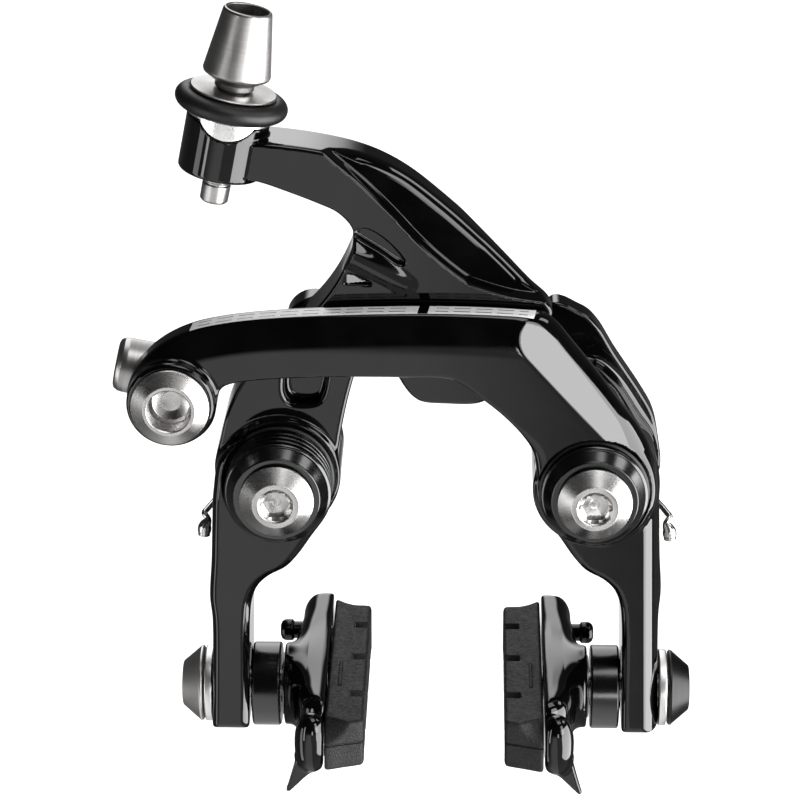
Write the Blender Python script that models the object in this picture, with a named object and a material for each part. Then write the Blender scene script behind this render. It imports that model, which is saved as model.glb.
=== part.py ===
"""Direct-mount road rim brake caliper: two arms, each turning on its own mounting bolt, linked at the middle.

Frame: origin midway between the two mounting bolts, on the plane where the caliper meets the fork crown.
+X right as seen from the front, +Y into the fork, +Z up. Every dimension below is in millimetres.
"""

import math

import bmesh
import bpy
from mathutils import Matrix, Vector

for old in list(bpy.data.objects):
    bpy.data.objects.remove(old, do_unlink=True)

MM = 0.001

# Driving dimensions
PIVOT_X = 31.0            # half of the 62 mm bolt spacing of a direct mount
BOSS_R = 12.0
BOSS_REAR_Y = -0.8
LEFT_BOSS_Y = -20.2
RIGHT_BOSS_Y = -26.3
BORE_R = 8.75
BUSH_R = 5.0
BUSH_HOLE_R = 3.35
BOLT_R = 3.0              # M6
HEAD_Y = -35.3
BLADE_Y = (-28.0, -20.0)  # front arm, in front of the rear arm
PLATE_Y = (-19.4, -7.0)   # rear arm's plate
FLANGE_Y = (-6.5, -0.8)   # front arm's rear cheek, behind the plate
LEG_Y = (-24.0, -6.0)
LEG_BOTTOM = -54.8
PAD_BOLT_Y = -15.0
PAD_BOLT_Z = -48.4
PAD_SLOT_UP = 4.5
PAD_SLOT_DOWN = 1.5
PAD_FACE_X = 14.0
PAD_BACK_X = 21.7
PAD_Y = (-43.0, 13.0)
PAD_Z = (-53.7, -43.6)
LINK_Z = 28.0
LINK_SLIDE = 6.3          # how far the link roller runs along its slot at full closing
ANCHOR = (-51.5, 18.7)
CABLE_Y = -13.0
CABLE_TILT = math.radians(11.0)
STEM_END = (-43.6, CABLE_Y, 55.0)

COLORS = {
    "black_gloss": ((0.010, 0.010, 0.011, 1), 0.12, 0.0),
    "black_satin": ((0.018, 0.018, 0.019, 1), 0.32, 0.2),
    "steel": ((0.62, 0.61, 0.60, 1), 0.24, 1.0),
    "steel_dark": ((0.40, 0.39, 0.38, 1), 0.30, 1.0),
    "rubber": ((0.022, 0.022, 0.023, 1), 0.62, 0.0),
    "pad": ((0.030, 0.030, 0.031, 1), 0.75, 0.0),
    "bronze": ((0.33, 0.22, 0.10, 1), 0.35, 1.0),
    "polymer": ((0.05, 0.05, 0.052, 1), 0.5, 0.0),
}


def material(obj, kind):
    color, rough, metal = COLORS[kind]
    mat = bpy.data.materials.new(obj.name + "_finish")
    mat.use_nodes = True
    shader = mat.node_tree.nodes["Principled BSDF"]
    shader.inputs["Base Color"].default_value = color
    shader.inputs["Roughness"].default_value = rough
    shader.inputs["Metallic"].default_value = metal
    obj.data.materials.append(mat)


def pivot(name, point):
    empty = bpy.data.objects.new(name, None)
    empty.empty_display_size = 0.01
    empty.location = Vector(point) * MM
    bpy.context.collection.objects.link(empty)
    return empty


def put(name, bm, kind=None, parent=None, sharp=35):
    """The bmesh, in millimetres of the whole object, becomes an object whose origin is its pivot."""
    mesh = bpy.data.meshes.new(name)
    origin = parent.location / MM if parent else Vector((0, 0, 0))
    bmesh.ops.transform(bm, matrix=Matrix.Scale(MM, 4) @ Matrix.Translation(-origin), verts=bm.verts)
    bmesh.ops.recalc_face_normals(bm, faces=bm.faces)
    bm.to_mesh(mesh)
    bm.free()
    mesh.shade_smooth()
    mesh.set_sharp_from_angle(angle=math.radians(sharp))
    obj = bpy.data.objects.new(name, mesh)
    bpy.context.collection.objects.link(obj)
    if parent:
        obj.parent = parent
    if kind:
        material(obj, kind)
    else:
        obj.hide_render = True
        obj.display_type = "WIRE"
    return obj


def boolean(obj, other, operation):
    mod = obj.modifiers.new(f"{operation.lower()}_{len(obj.modifiers)}", "BOOLEAN")
    mod.operation = operation
    mod.solver = "EXACT"
    mod.object = other


def rounded(points, steps=2):
    """Closed outline through the points. A point with a third value of 1 stays a corner."""
    out = []
    n = len(points)
    for i in range(n):
        p0, p1, p2, p3 = (points[(i + k) % n] for k in (-1, 0, 1, 2))
        out.append((p1[0], p1[1]))
        a, b, c, d = (Vector(p[:2]) for p in (p0, p1, p2, p3))
        if (c - b).length < 3.5:
            continue
        if len(p1) > 2:
            a = b
        if len(p2) > 2:
            d = c
        for s in range(1, steps):
            t = s / steps
            q = 0.5 * ((2 * b) + (c - a) * t + (2 * a - 5 * b + 4 * c - d) * t * t + (3 * b - a - 3 * c + d) * t ** 3)
            out.append((q.x, q.y))
    return out


def slab(points, low, high, plane="XZ", bevel=0.0):
    """Outline extruded from low to high across its plane, with the rim of both faces bevelled."""
    bm = bmesh.new()
    place = {
        "XZ": lambda u, v, w: (u, w, v),
        "XY": lambda u, v, w: (u, v, w),
        "YZ": lambda u, v, w: (w, u, v),
    }[plane]
    ring = [bm.verts.new(place(u, v, low)) for u, v in points]
    face = bm.faces.new(ring)
    made = bmesh.ops.extrude_face_region(bm, geom=[face])
    lift = Vector(place(0, 0, high)) - Vector(place(0, 0, low))
    bmesh.ops.translate(bm, verts=[v for v in made["geom"] if isinstance(v, bmesh.types.BMVert)], vec=lift)
    bmesh.ops.recalc_face_normals(bm, faces=bm.faces)
    if bevel:
        axis = lift.normalized()
        rim = [e for e in bm.edges if abs((e.verts[1].co - e.verts[0].co).normalized().dot(axis)) < 0.5]
        bmesh.ops.bevel(bm, geom=rim, offset=bevel, segments=1, affect="EDGES", clamp_overlap=True)
    bmesh.ops.triangulate(bm, faces=bm.faces)
    return bm


def turned(profile, point, axis, segments=20, ring=False, phase=0.0):
    """(radius, distance) profile spun about the axis through the point."""
    bm = bmesh.new()
    verts = [bm.verts.new((r, 0, t)) for r, t in profile]
    edges = [bm.edges.new(pair) for pair in zip(verts, verts[1:])]
    if ring:
        edges.append(bm.edges.new((verts[-1], verts[0])))
    bmesh.ops.spin(bm, geom=verts + edges, cent=(0, 0, 0), axis=(0, 0, 1), angle=2 * math.pi, steps=segments)
    bmesh.ops.remove_doubles(bm, verts=bm.verts, dist=0.0005)
    turn = Vector((0, 0, 1)).rotation_difference(Vector(axis)).to_matrix().to_4x4()
    bmesh.ops.transform(bm, matrix=Matrix.Translation(point) @ turn @ Matrix.Rotation(phase, 4, "Z"), verts=bm.verts)
    bmesh.ops.recalc_face_normals(bm, faces=bm.faces)
    return bm


def rod(radius, low, high, point, axis, segments=20, phase=0.0):
    return turned([(0, low), (radius, low), (radius, high), (0, high)], point, axis, segments, phase=phase)


def tube(inner, outer, low, high, point, axis, segments=20):
    return turned([(inner, low), (outer, low), (outer, high), (inner, high)], point, axis, segments, ring=True)


def box(low, high):
    bm = bmesh.new()
    bmesh.ops.create_cube(bm, size=1.0)
    low, high = Vector(low), Vector(high)
    size = high - low
    bmesh.ops.transform(bm, matrix=Matrix.Translation((low + high) / 2) @ Matrix.Diagonal((*size, 1)), verts=bm.verts)
    return bm


Y_AXIS = (0, 1, 0)
ALONG_CABLE = (math.sin(CABLE_TILT), 0, math.cos(CABLE_TILT))
ALONG_SCREW = (-math.cos(CABLE_TILT), 0, math.sin(CABLE_TILT))

frame = pivot("frame", (0, 0, 0))
left_pivot = pivot("left_pivot", (-PIVOT_X, 0, 0))
right_pivot = pivot("right_pivot", (PIVOT_X, 0, 0))
adjuster_axis = pivot("adjuster_axis", STEM_END)
anchor_axis = pivot("anchor_axis", (ANCHOR[0], CABLE_Y, ANCHOR[1]))

# ---------------------------------------------------------------- rear arm (turns on the left bolt)
LEG_LEFT = [
    (-45.4, LEG_BOTTOM, 1), (-45.1, -44.0), (-44.9, -30.0), (-45.3, -25.5), (-44.8, -17.0), (-44.5, -9.0), (-44.1, -2.0),
    (-42.6, 5.0), (-37.0, 9.5), (-29.0, 9.5), (-22.0, 4.0), (-20.3, -2.0), (-21.6, -7.0), (-24.8, -11.9), (-27.4, -15.8),
    (-29.9, -18.6), (-33.4, -20.6), (-35.6, -22.8), (-36.8, -25.8), (-37.3, -30.0), (-37.5, -36.0), (-37.8, LEG_BOTTOM, 1),
]
UPPER = [
    (-43.6, 0.0), (-42.6, 8.2), (-40.9, 14.4), (-38.4, 19.4), (-34.0, 24.8), (-28.5, 30.0), (-23.2, 35.4), (-20.0, 39.8),
    (-17.8, 44.0), (-16.3, 48.2), (-16.5, 51.4), (-19.3, 54.6), (-23.0, 56.4), (-28.0, 58.4), (-33.6, 60.4), (-38.5, 61.6, 1),
    (-38.0, 68.8, 1), (-32.5, 68.5), (-27.0, 67.9), (-21.0, 66.9), (-16.0, 65.7), (-11.0, 63.8), (-5.5, 60.6), (2.3, 54.2),
    (12.2, 45.0), (18.0, 39.4), (21.6, 36.4), (22.5, 34.4), (21.0, 32.2), (16.6, 28.2), (13.2, 24.0), (11.4, 19.6),
    (10.2, 16.4), (7.8, 15.3), (2.0, 15.2), (-3.2, 15.7), (-5.4, 17.4), (-7.6, 20.8), (-9.6, 24.6), (-12.0, 27.2),
    (-14.4, 26.4), (-15.9, 22.0), (-17.4, 16.4), (-18.6, 10.6), (-19.6, 4.4), (-20.4, 0.0), (-26.0, -4.0), (-36.0, -4.0),
]
rear_arm = put("rear_arm", slab(rounded(UPPER), *PLATE_Y, bevel=0.8), "black_gloss", left_pivot)
leg = put("rear_arm_leg", slab(rounded(LEG_LEFT), *LEG_Y, bevel=0.9), parent=left_pivot)
boolean(rear_arm, leg, "UNION")
boss = put("rear_arm_boss", turned([(0, LEFT_BOSS_Y), (BOSS_R - 0.8, LEFT_BOSS_Y), (BOSS_R, LEFT_BOSS_Y + 0.8), (BOSS_R, BOSS_REAR_Y), (0, BOSS_REAR_Y)],
                                   (-PIVOT_X, 0, 0), Y_AXIS, 32), parent=left_pivot)
boolean(rear_arm, boss, "UNION")
adjuster_boss = put("adjuster_boss", turned([(0, 6.1), (7.6, 6.1), (8.1, 6.6), (8.1, 17.2), (7.8, 17.6), (0, 17.6)], STEM_END, ALONG_CABLE, 24), parent=left_pivot)
boolean(rear_arm, adjuster_boss, "UNION")
hump = put("centring_hump", rod(5.6, -8.2, -1.2, (-24.6, 0, 27.4), Y_AXIS, 16), parent=left_pivot)
boolean(rear_arm, hump, "UNION")
# The plate thins towards its right-hand tip, which sits between the front arm's cheeks.
tip_cut = put("tip_cut", slab([(3.0, -6.0), (26.0, -6.0), (26.0, -13.6), (21.0, -13.2), (3.0, -6.9)], 24.0, 60.0, "XY"), parent=left_pivot)
boolean(rear_arm, tip_cut, "DIFFERENCE")
pocket = put("pocket_cut", slab([(-30.4, 15.2), (-28.9, 13.8), (-23.4, 13.8), (-21.9, 15.4), (-21.9, 23.5), (-29.0, 23.5), (-30.4, 22.0)], -24.0, -15.6), parent=left_pivot)
boolean(rear_arm, pocket, "DIFFERENCE")
# Triangular lightening pocket under the top ridge
ridge_pocket = put("ridge_pocket_cut", slab([(-19.0, 64.6), (-14.6, 63.4), (-4.5, 57.6), (6.0, 48.6), (15.8, 39.6), (9.2, 40.4), (3.0, 43.4), (-3.6, 49.0), (-9.2, 55.0), (-14.6, 60.6)],
                                            -24.0, -15.8), parent=left_pivot)
boolean(rear_arm, ridge_pocket, "DIFFERENCE")
cap_cut = put("left_cap_cut", rod(11.3, -40.0, LEFT_BOSS_Y, (-PIVOT_X, 0, 0), Y_AXIS, 32), parent=left_pivot)
boolean(rear_arm, cap_cut, "DIFFERENCE")
bore = put("left_bore_cut", turned([(0, -30), (BORE_R, -30), (BORE_R, -6.2), (6.6, -6.2), (6.6, -5.2), (9.4, -5.2), (9.4, 2), (0, 2)],
                                   (-PIVOT_X, 0, 0), Y_AXIS, 28), parent=left_pivot)
boolean(rear_arm, bore, "DIFFERENCE")
notch = put("left_spring_notch", box((-47.5, -5.0, -12.2), (-32.5, 1.0, -7.4)), parent=left_pivot)
boolean(rear_arm, notch, "DIFFERENCE")
link_slot = put("link_slot_cut", slab([(-3.6, LINK_Z + 1.6), (-2.0, LINK_Z + 3.6), (LINK_SLIDE + 2.0, LINK_Z + 3.6), (LINK_SLIDE + 3.6, LINK_Z + 1.6),
                                       (LINK_SLIDE + 3.6, LINK_Z - 2.4), (LINK_SLIDE + 2.0, LINK_Z - 4.3), (-2.0, LINK_Z - 4.3), (-3.6, LINK_Z - 2.4)], -24, -2), parent=left_pivot)
boolean(rear_arm, link_slot, "DIFFERENCE")
stem_hole = put("stem_hole_cut", rod(3.5, 0, 24, STEM_END, ALONG_CABLE, 16), parent=left_pivot)
boolean(rear_arm, stem_hole, "DIFFERENCE")
DETENT_Z = 21.4
detent_cut = put("detent_cut", rod(6.6, -30, -16.4, Vector(STEM_END) * 1.0 - Vector((0, CABLE_Y, 0)) + Vector(ALONG_CABLE) * DETENT_Z, Y_AXIS, 20), parent=left_pivot)
boolean(rear_arm, detent_cut, "DIFFERENCE")


def pad_slot(side, parent):
    low, high = PAD_BOLT_Z - PAD_SLOT_DOWN, PAD_BOLT_Z + PAD_SLOT_UP
    ends = []
    for i in range(7):
        a = math.pi * i / 6
        ends.append((PAD_BOLT_Y + 3.35 * math.cos(a), high + 3.35 * math.sin(a)))
    for i in range(7):
        a = math.pi + math.pi * i / 6
        ends.append((PAD_BOLT_Y + 3.35 * math.cos(a), low + 3.35 * math.sin(a)))
    span = sorted((side * 30.0, side * 50.0))
    return put(f"pad_slot_{'left' if side < 0 else 'right'}", slab(ends, *span, "YZ"), parent=parent)


boolean(rear_arm, pad_slot(-1, left_pivot), "DIFFERENCE")
screw_hole = put("centring_hole_cut", rod(2.3, -12.0, 2.0, (-24.6, 0, 27.4), Y_AXIS, 12), parent=left_pivot)
boolean(rear_arm, screw_hole, "DIFFERENCE")

# ---------------------------------------------------------------- front arm (turns on the right bolt)
BLADE = [
    (-60.0, 18.6), (-59.3, 22.4), (-57.4, 25.9), (-54.5, 28.9), (-51.0, 31.2), (-47.0, 32.9), (-41.5, 34.2), (-35.0, 35.1),
    (-26.0, 35.8), (-12.0, 36.4), (0.0, 36.6), (10.0, 36.4), (17.0, 36.0), (20.6, 35.6), (23.2, 33.7), (26.2, 30.0),
    (31.4, 23.4), (36.2, 16.9), (39.8, 12.0), (42.0, 8.0), (43.2, 3.0), (43.4, -3.0), (40.0, -9.0), (33.0, -12.0), (25.6, -9.5),
    (20.8, -3.0), (19.8, 3.0), (18.9, 8.4), (16.3, 12.7), (12.6, 16.6), (8.6, 19.9), (5.4, 22.4), (2.6, 23.8), (-7.4, 24.1),
    (-22.5, 24.0), (-30.2, 23.6), (-35.2, 23.2), (-39.2, 22.6), (-41.5, 21.6), (-42.8, 19.0), (-43.6, 15.0), (-45.6, 12.1),
    (-48.5, 10.5), (-52.0, 10.0), (-55.6, 11.0), (-58.6, 13.9),
]
LEG_RIGHT = [(-p[0], *p[1:]) for p in LEG_LEFT]
CHEEK = [
    (22.6, 31.9), (24.8, 31.8), (27.6, 30.4), (29.8, 29.2), (32.0, 26.8), (35.2, 21.4), (40.8, 12.8), (43.2, 8.4), (44.5, 3.0),
    (44.8, -4.5), (41.0, -9.0), (31.0, -11.5), (23.0, -8.0), (20.4, -1.0), (19.0, 6.0), (18.0, 14.0), (18.6, 22.0), (20.4, 28.0),
]
WEB = [
    (19.8, 4.0), (19.0, 10.0), (20.0, 15.6), (24.6, 19.2), (30.6, 20.0), (35.0, 16.8), (39.8, 9.8), (43.0, 4.0), (43.8, -3.0),
    (40.0, -9.0), (31.0, -11.0), (23.0, -8.0),
]
front_arm = put("front_arm", slab(rounded(BLADE), *BLADE_Y, bevel=1.0), "black_gloss", right_pivot)
web = put("front_arm_web", slab(rounded(WEB), -21.0, -5.8), parent=right_pivot)
boolean(front_arm, web, "UNION")
cheek = put("front_arm_cheek", slab(rounded(CHEEK), *FLANGE_Y, bevel=0.7), parent=right_pivot)
boolean(front_arm, cheek, "UNION")
leg = put("front_arm_leg", slab(rounded(LEG_RIGHT), *LEG_Y, bevel=0.9), parent=right_pivot)
boolean(front_arm, leg, "UNION")
boss = put("front_arm_boss", turned([(0, -25.9), (BOSS_R, -25.9), (BOSS_R, BOSS_REAR_Y - 0.3), (0, BOSS_REAR_Y - 0.3)], (PIVOT_X, 0, 0), Y_AXIS, 32), parent=right_pivot)
boolean(front_arm, boss, "UNION")
anchor_boss = put("anchor_boss", turned([(0, -30.0), (7.9, -30.0), (8.6, -29.2), (8.6, -19.7), (0, -19.7)], (ANCHOR[0], 0, ANCHOR[1]), Y_AXIS, 28), parent=right_pivot)
boolean(front_arm, anchor_boss, "UNION")
collar_cut = put("collar_cut", rod(11.2, -40.0, RIGHT_BOSS_Y, (PIVOT_X, 0, 0), Y_AXIS, 32), parent=right_pivot)
boolean(front_arm, collar_cut, "DIFFERENCE")
bore = put("right_bore_cut", turned([(0, -34), (BORE_R, -34), (BORE_R, -6.2), (6.6, -6.2), (6.6, -5.2), (9.4, -5.2), (9.4, 2), (0, 2)],
                                    (PIVOT_X, 0, 0), Y_AXIS, 28), parent=right_pivot)
boolean(front_arm, bore, "DIFFERENCE")
notch = put("right_spring_notch", box((32.5, -5.0, -12.2), (47.5, 1.0, -7.4)), parent=right_pivot)
boolean(front_arm, notch, "DIFFERENCE")
anchor_hole = put("anchor_hole_cut", rod(5.3, -34, -16, (ANCHOR[0], 0, ANCHOR[1]), Y_AXIS, 20), parent=right_pivot)
boolean(front_arm, anchor_hole, "DIFFERENCE")
pin_hole = put("link_pin_hole_cut", rod(2.4, -24.6, -16, (0, 0, LINK_Z), Y_AXIS, 12), parent=right_pivot)
boolean(front_arm, pin_hole, "DIFFERENCE")
boolean(front_arm, pad_slot(1, right_pivot), "DIFFERENCE")

# ---------------------------------------------------------------- pivots: what stays fixed to the fork
for side, word, boss_front in ((-1, "left", LEFT_BOSS_Y), (1, "right", RIGHT_BOSS_Y)):
    centre = (side * PIVOT_X, 0, 0)
    # M6 mounting bolt with a turned cone head and a hex socket
    bolt = put(f"mount_bolt_{word}", turned(
        [(0, HEAD_Y), (4.5, HEAD_Y), (7.3, HEAD_Y + 2.4), (7.3, HEAD_Y + 3.0), (BOLT_R, HEAD_Y + 3.0), (BOLT_R, 8.6), (2.4, 9.4), (0, 9.4)],
        centre, Y_AXIS, 20), "steel", frame)
    socket = put(f"socket_{word}_cut", rod(2.9, HEAD_Y - 2, HEAD_Y + 3.2, centre, Y_AXIS, 6), parent=frame)
    boolean(bolt, socket, "DIFFERENCE")
    put(f"pivot_bush_{word}", turned(
        [(BUSH_HOLE_R, HEAD_Y + 3.4), (BUSH_R, HEAD_Y + 3.4), (BUSH_R, -1.0), (7.8, -1.0), (7.8, 0.0), (BUSH_HOLE_R, 0.0)],
        centre, Y_AXIS, 20, ring=True), "steel_dark", frame)
    put(f"bearing_cap_{word}", turned(
        [(5.35, HEAD_Y + 3.4), (7.6, HEAD_Y + 3.4), (8.7, HEAD_Y + 4.0), (8.7, HEAD_Y + 4.6), (10.2, HEAD_Y + 5.4), (10.5, HEAD_Y + 7.1),
         (10.5, boss_front - 1.3), (5.35, boss_front - 1.3)], centre, Y_AXIS, 24, ring=True), "black_satin", frame)
    put(f"dust_seal_{word}", tube(5.6, 10.9, boss_front - 1.0, boss_front - 0.35, centre, Y_AXIS, 20), "rubber", frame)
    pivot_of_arm = left_pivot if side < 0 else right_pivot
    for place, start in (("front", boss_front + 0.4), ("rear", -10.6)):
        put(f"{place}_bearing_{word}", tube(5.35, 8.4, start, start + 4.0, centre, Y_AXIS, 20), "steel_dark", pivot_of_arm)
    # Return spring: a coil round the bush behind the boss, then a tail that runs out and hooks round the edge of the leg
    coil = []
    turns, radius, rise, steps = 1.7, 7.2, 1.45, 21
    for i in range(steps + 1):
        back = turns * (1 - i / steps)
        a = math.radians(-105) - 2 * math.pi * back
        coil.append((centre[0] + side * radius * math.cos(a), -2.0 - rise * back, radius * math.sin(a)))
    tail = [(side * 38.0, -2.2, -9.3), (side * 44.6, -3.2, -10.9), (side * 46.9, -4.6, -11.8), (side * 47.3, -7.0, -12.8),
            (side * 47.2, -10.0, -14.2), (side * 47.0, -11.4, -16.4)]
    path = coil + tail
    curve = bpy.data.curves.new(f"return_spring_{word}", "CURVE")
    curve.dimensions = "3D"
    curve.bevel_depth = 0.6 * MM
    curve.bevel_resolution = 1
    curve.use_fill_caps = True
    spline = curve.splines.new("POLY")
    spline.points.add(len(path) - 1)
    for point, co in zip(spline.points, path):
        point.co = (*(Vector(co) * MM), 1)
    spring = bpy.data.objects.new(f"return_spring_{word}", curve)
    bpy.context.collection.objects.link(spring)
    spring.parent = frame
    material(spring, "steel")

# ---------------------------------------------------------------- link between the arms
put("link_pin", turned([(0, -24.3), (2.0, -24.3), (2.0, -7.4), (1.5, -6.9), (0, -6.9)], (0, 0, LINK_Z), Y_AXIS, 14), "steel_dark", right_pivot)
put("link_roller", tube(2.3, 3.2, -19.0, -8.0, (0, 0, LINK_Z), Y_AXIS, 18), "bronze", right_pivot)
centring = put("centring_screw", turned([(0, -10.6), (1.9, -10.6), (1.9, -0.9), (0, -0.9)], (-24.6, 0, 27.4), Y_AXIS, 14), "steel", left_pivot)
hex_cut = put("centring_socket_cut", rod(1.15, -2.9, 1.0, (-24.6, 0, 27.4), Y_AXIS, 6), parent=left_pivot)
boolean(centring, hex_cut, "DIFFERENCE")

# ---------------------------------------------------------------- cable adjuster on the rear arm
barrel = put("adjuster_barrel", turned(
    [(1.1, 0.0), (2.6, 0.0), (3.0, 0.5), (3.0, 23.1), (3.85, 23.4), (3.85, 24.4), (6.45, 26.0), (6.6, 26.5), (4.75, 38.7), (4.6, 39.0), (4.05, 39.0),
     (3.9, 31.0), (1.1, 31.0)], STEM_END, ALONG_CABLE, 24, ring=True), "steel", adjuster_axis)
put("adjuster_nut", turned(
    [(3.35, 18.3), (6.1, 18.3), (6.1, 22.2), (8.3, 22.55), (8.5, 22.7), (8.2, 22.95), (3.35, 22.95)],
    STEM_END, ALONG_CABLE, 24, ring=True), "steel", adjuster_axis)
grip = [(8.75 + 2.2 * math.cos(a), 20.35 + 1.9 * math.sin(a)) for a in (2 * math.pi * i / 8 for i in range(8))]
grip = [(max(r, 6.45), t) for r, t in grip]
put("adjuster_grip_ring", turned(grip, STEM_END, ALONG_CABLE, 22, ring=True), "rubber", adjuster_axis)
put("adjuster_index_ring", tube(5.2, 7.6, 17.85, 18.0, STEM_END, ALONG_CABLE, 20), "steel", left_pivot)

# ---------------------------------------------------------------- cable anchor on the front arm
anchor_point = (ANCHOR[0], 0, ANCHOR[1])
anchor = put("cable_anchor_barrel", turned(
    [(0, -27.0), (3.6, -27.2), (4.2, -28.2), (4.2, -33.0), (5.0, -33.0), (7.7, -31.0), (7.7, -30.4), (4.9, -30.4), (4.9, -19.2), (4.6, -18.8), (4.6, -6.4),
     (4.0, -5.6), (0, -5.6)][::-1], anchor_point, Y_AXIS, 24), "steel", anchor_axis)
screw_centre = Vector((ANCHOR[0], CABLE_Y, ANCHOR[1]))
tapped = put("anchor_tapped_cut", rod(2.85, -3.4, 9.0, screw_centre, ALONG_SCREW, 16), parent=anchor_axis)
boolean(anchor, tapped, "DIFFERENCE")
cable_hole = put("anchor_cable_cut", rod(1.15, -9.0, 9.0, screw_centre - Vector(ALONG_SCREW) * 1.2, ALONG_CABLE, 10), parent=anchor_axis)
boolean(anchor, cable_hole, "DIFFERENCE")
clamp = put("cable_clamp_screw", turned([(0, 0.8), (2.5, 0.8), (2.5, 5.3), (5.5, 5.3), (5.5, 11.2), (4.6, 12.3), (0, 12.3)], screw_centre, ALONG_SCREW, 20), "steel", anchor_axis)
clamp_socket = put("clamp_socket_cut", rod(2.3, 8.8, 14.0, screw_centre, ALONG_SCREW, 6), parent=anchor_axis)
boolean(clamp, clamp_socket, "DIFFERENCE")
put("cable_clamp_shoe", rod(2.4, -0.5, 0.4, screw_centre, ALONG_SCREW, 16), "steel_dark", anchor_axis)

# ---------------------------------------------------------------- brake shoes
X_AXIS = (1, 0, 0)
for side, word in ((-1, "left"), (1, "right")):
    centre = (0, PAD_BOLT_Y, PAD_BOLT_Z)
    shoe = pivot(f"pad_axis_{word}", (side * 34.4, PAD_BOLT_Y, PAD_BOLT_Z))
    axis = (side, 0, 0)
    bolt = put(f"pad_bolt_{word}", turned([(0, 25.6), (4.2, 25.6), (4.2, 27.6), (2.9, 27.8), (2.9, 50.3), (2.4, 50.8), (0, 50.8)], centre, axis, 16), "steel", shoe)
    put(f"pad_spacer_{word}", turned([(3.95, 31.5), (8.2, 31.5), (8.55, 31.9), (8.55, 37.0), (8.2, 37.3), (3.95, 37.3)], centre, axis, 20, ring=True), "black_satin", shoe)
    put(f"convex_washer_{word}", turned([(3.3, 28.9), (5.0, 28.9), (6.4, 30.2), (6.4, 31.15), (3.3, 31.15)], centre, axis, 18, ring=True), "steel_dark", shoe)
    put(f"pad_washer_{word}", tube(3.95, 7.8, 45.7, 47.0, centre, axis, 20), "steel", shoe)
    nut = put(f"pad_nut_{word}", turned([(3.3, 47.35), (7.7, 47.35), (7.7, 48.0), (7.3, 48.4), (4.4, 51.7), (3.3, 51.7)], centre, axis, 20, ring=True), "steel", shoe)
    # Shoe holder: a long rounded channel with a round boss for the bolt and a guide fin under its front end
    h = lambda x: side * x
    HOLDER = [(21.95, 14.8), (22.6, 16.0), (25.6, 16.0), (27.3, 14.0), (27.9, 4.0), (28.6, -4.0), (28.8, -26.0), (28.2, -36.0), (28.0, -41.0), (26.6, -43.4), (23.2, -43.6), (21.95, -42.4)]
    holder = put(f"pad_holder_{word}", slab([(h(x), y) for x, y in HOLDER], -55.0, -41.2, "XY", bevel=1.6), "black_gloss", shoe)
    flare = put(f"holder_flare_{word}", turned([(0, 24.0), (5.2, 24.0), (8.4, 29.6), (8.4, 30.4), (7.9, 30.8), (0, 30.8)], centre, axis, 20), parent=shoe)
    boolean(holder, flare, "UNION")
    fin = put(f"holder_fin_{word}", slab([(h(22.4), -52.9), (h(28.3), -52.9), (h(29.6), -59.6), (h(28.6), -59.9), (h(25.6), -57.4)], -43.2, -38.6), parent=shoe)
    boolean(holder, fin, "UNION")
    seat = put(f"holder_seat_{word}", turned([(0, 20.0), (4.6, 20.0), (4.6, 28.0), (3.3, 28.2), (3.3, 28.6), (5.3, 28.6), (7.0, 30.2), (7.0, 33.0), (0, 33.0)], centre, axis, 18), parent=shoe)
    boolean(holder, seat, "DIFFERENCE")
    tail_hole = put(f"holder_screw_hole_{word}", rod(1.45, 18.0, 32.0, (0, 4.0, PAD_BOLT_Z + 3.0), axis, 10), parent=shoe)
    boolean(holder, tail_hole, "DIFFERENCE")
    put(f"pad_retaining_screw_{word}", turned([(0, 22.6), (1.1, 22.6), (1.1, 29.9), (2.1, 30.1), (2.3, 31.6), (1.6, 32.6), (0, 32.8)], (0, 4.0, PAD_BOLT_Z + 3.0), axis, 12), "steel", shoe)
    PAD = [(PAD_FACE_X, 12.4), (14.6, 13.0), (18.2, 13.3), (21.4, 15.8), (PAD_BACK_X, 15.4), (PAD_BACK_X, -42.6), (21.2, -43.0), (14.8, -43.0), (PAD_FACE_X, -41.6)]
    put(f"brake_pad_{word}", slab([(h(x), y) for x, y in PAD], *PAD_Z, "XY", bevel=0.5), "pad", shoe)
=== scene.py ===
"""Looks of the direct-mount rim brake caliper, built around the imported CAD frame. Shapes are written in millimetres."""
import math

import bmesh
import bpy
import numpy as np
from mathutils import Matrix, Vector


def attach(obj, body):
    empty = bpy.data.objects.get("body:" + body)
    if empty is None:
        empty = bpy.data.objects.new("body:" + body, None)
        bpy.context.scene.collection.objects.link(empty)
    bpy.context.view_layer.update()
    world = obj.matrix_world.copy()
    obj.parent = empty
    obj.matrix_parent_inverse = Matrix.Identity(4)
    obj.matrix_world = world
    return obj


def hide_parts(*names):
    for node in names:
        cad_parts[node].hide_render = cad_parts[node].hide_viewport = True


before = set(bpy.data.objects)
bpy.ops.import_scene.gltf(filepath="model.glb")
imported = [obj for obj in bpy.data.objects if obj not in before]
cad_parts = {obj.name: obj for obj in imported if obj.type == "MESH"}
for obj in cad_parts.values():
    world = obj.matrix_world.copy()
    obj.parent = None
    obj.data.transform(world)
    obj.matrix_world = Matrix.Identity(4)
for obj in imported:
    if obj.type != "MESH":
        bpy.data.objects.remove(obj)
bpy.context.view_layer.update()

MM = 0.001
CELL = 0.34

# Driving dimensions, as in the CAD
PIVOT_X = 31.0
HEAD_Y = -35.3
LEFT_BOSS_Y = -20.2
RIGHT_BOSS_Y = -26.3
LINK = (0.0, 28.0)
ANCHOR = (-51.5, 18.7)
CABLE_Y = -13.0
CABLE_TILT = math.radians(11.0)
STEM_END = (-43.6, CABLE_Y, 55.0)
ALONG_CABLE = (math.sin(CABLE_TILT), 0.0, math.cos(CABLE_TILT))
ALONG_SCREW = (-math.cos(CABLE_TILT), 0.0, math.sin(CABLE_TILT))
PAD_BOLT = (-15.0, -48.4)
LEG_BOTTOM = -54.8

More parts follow.
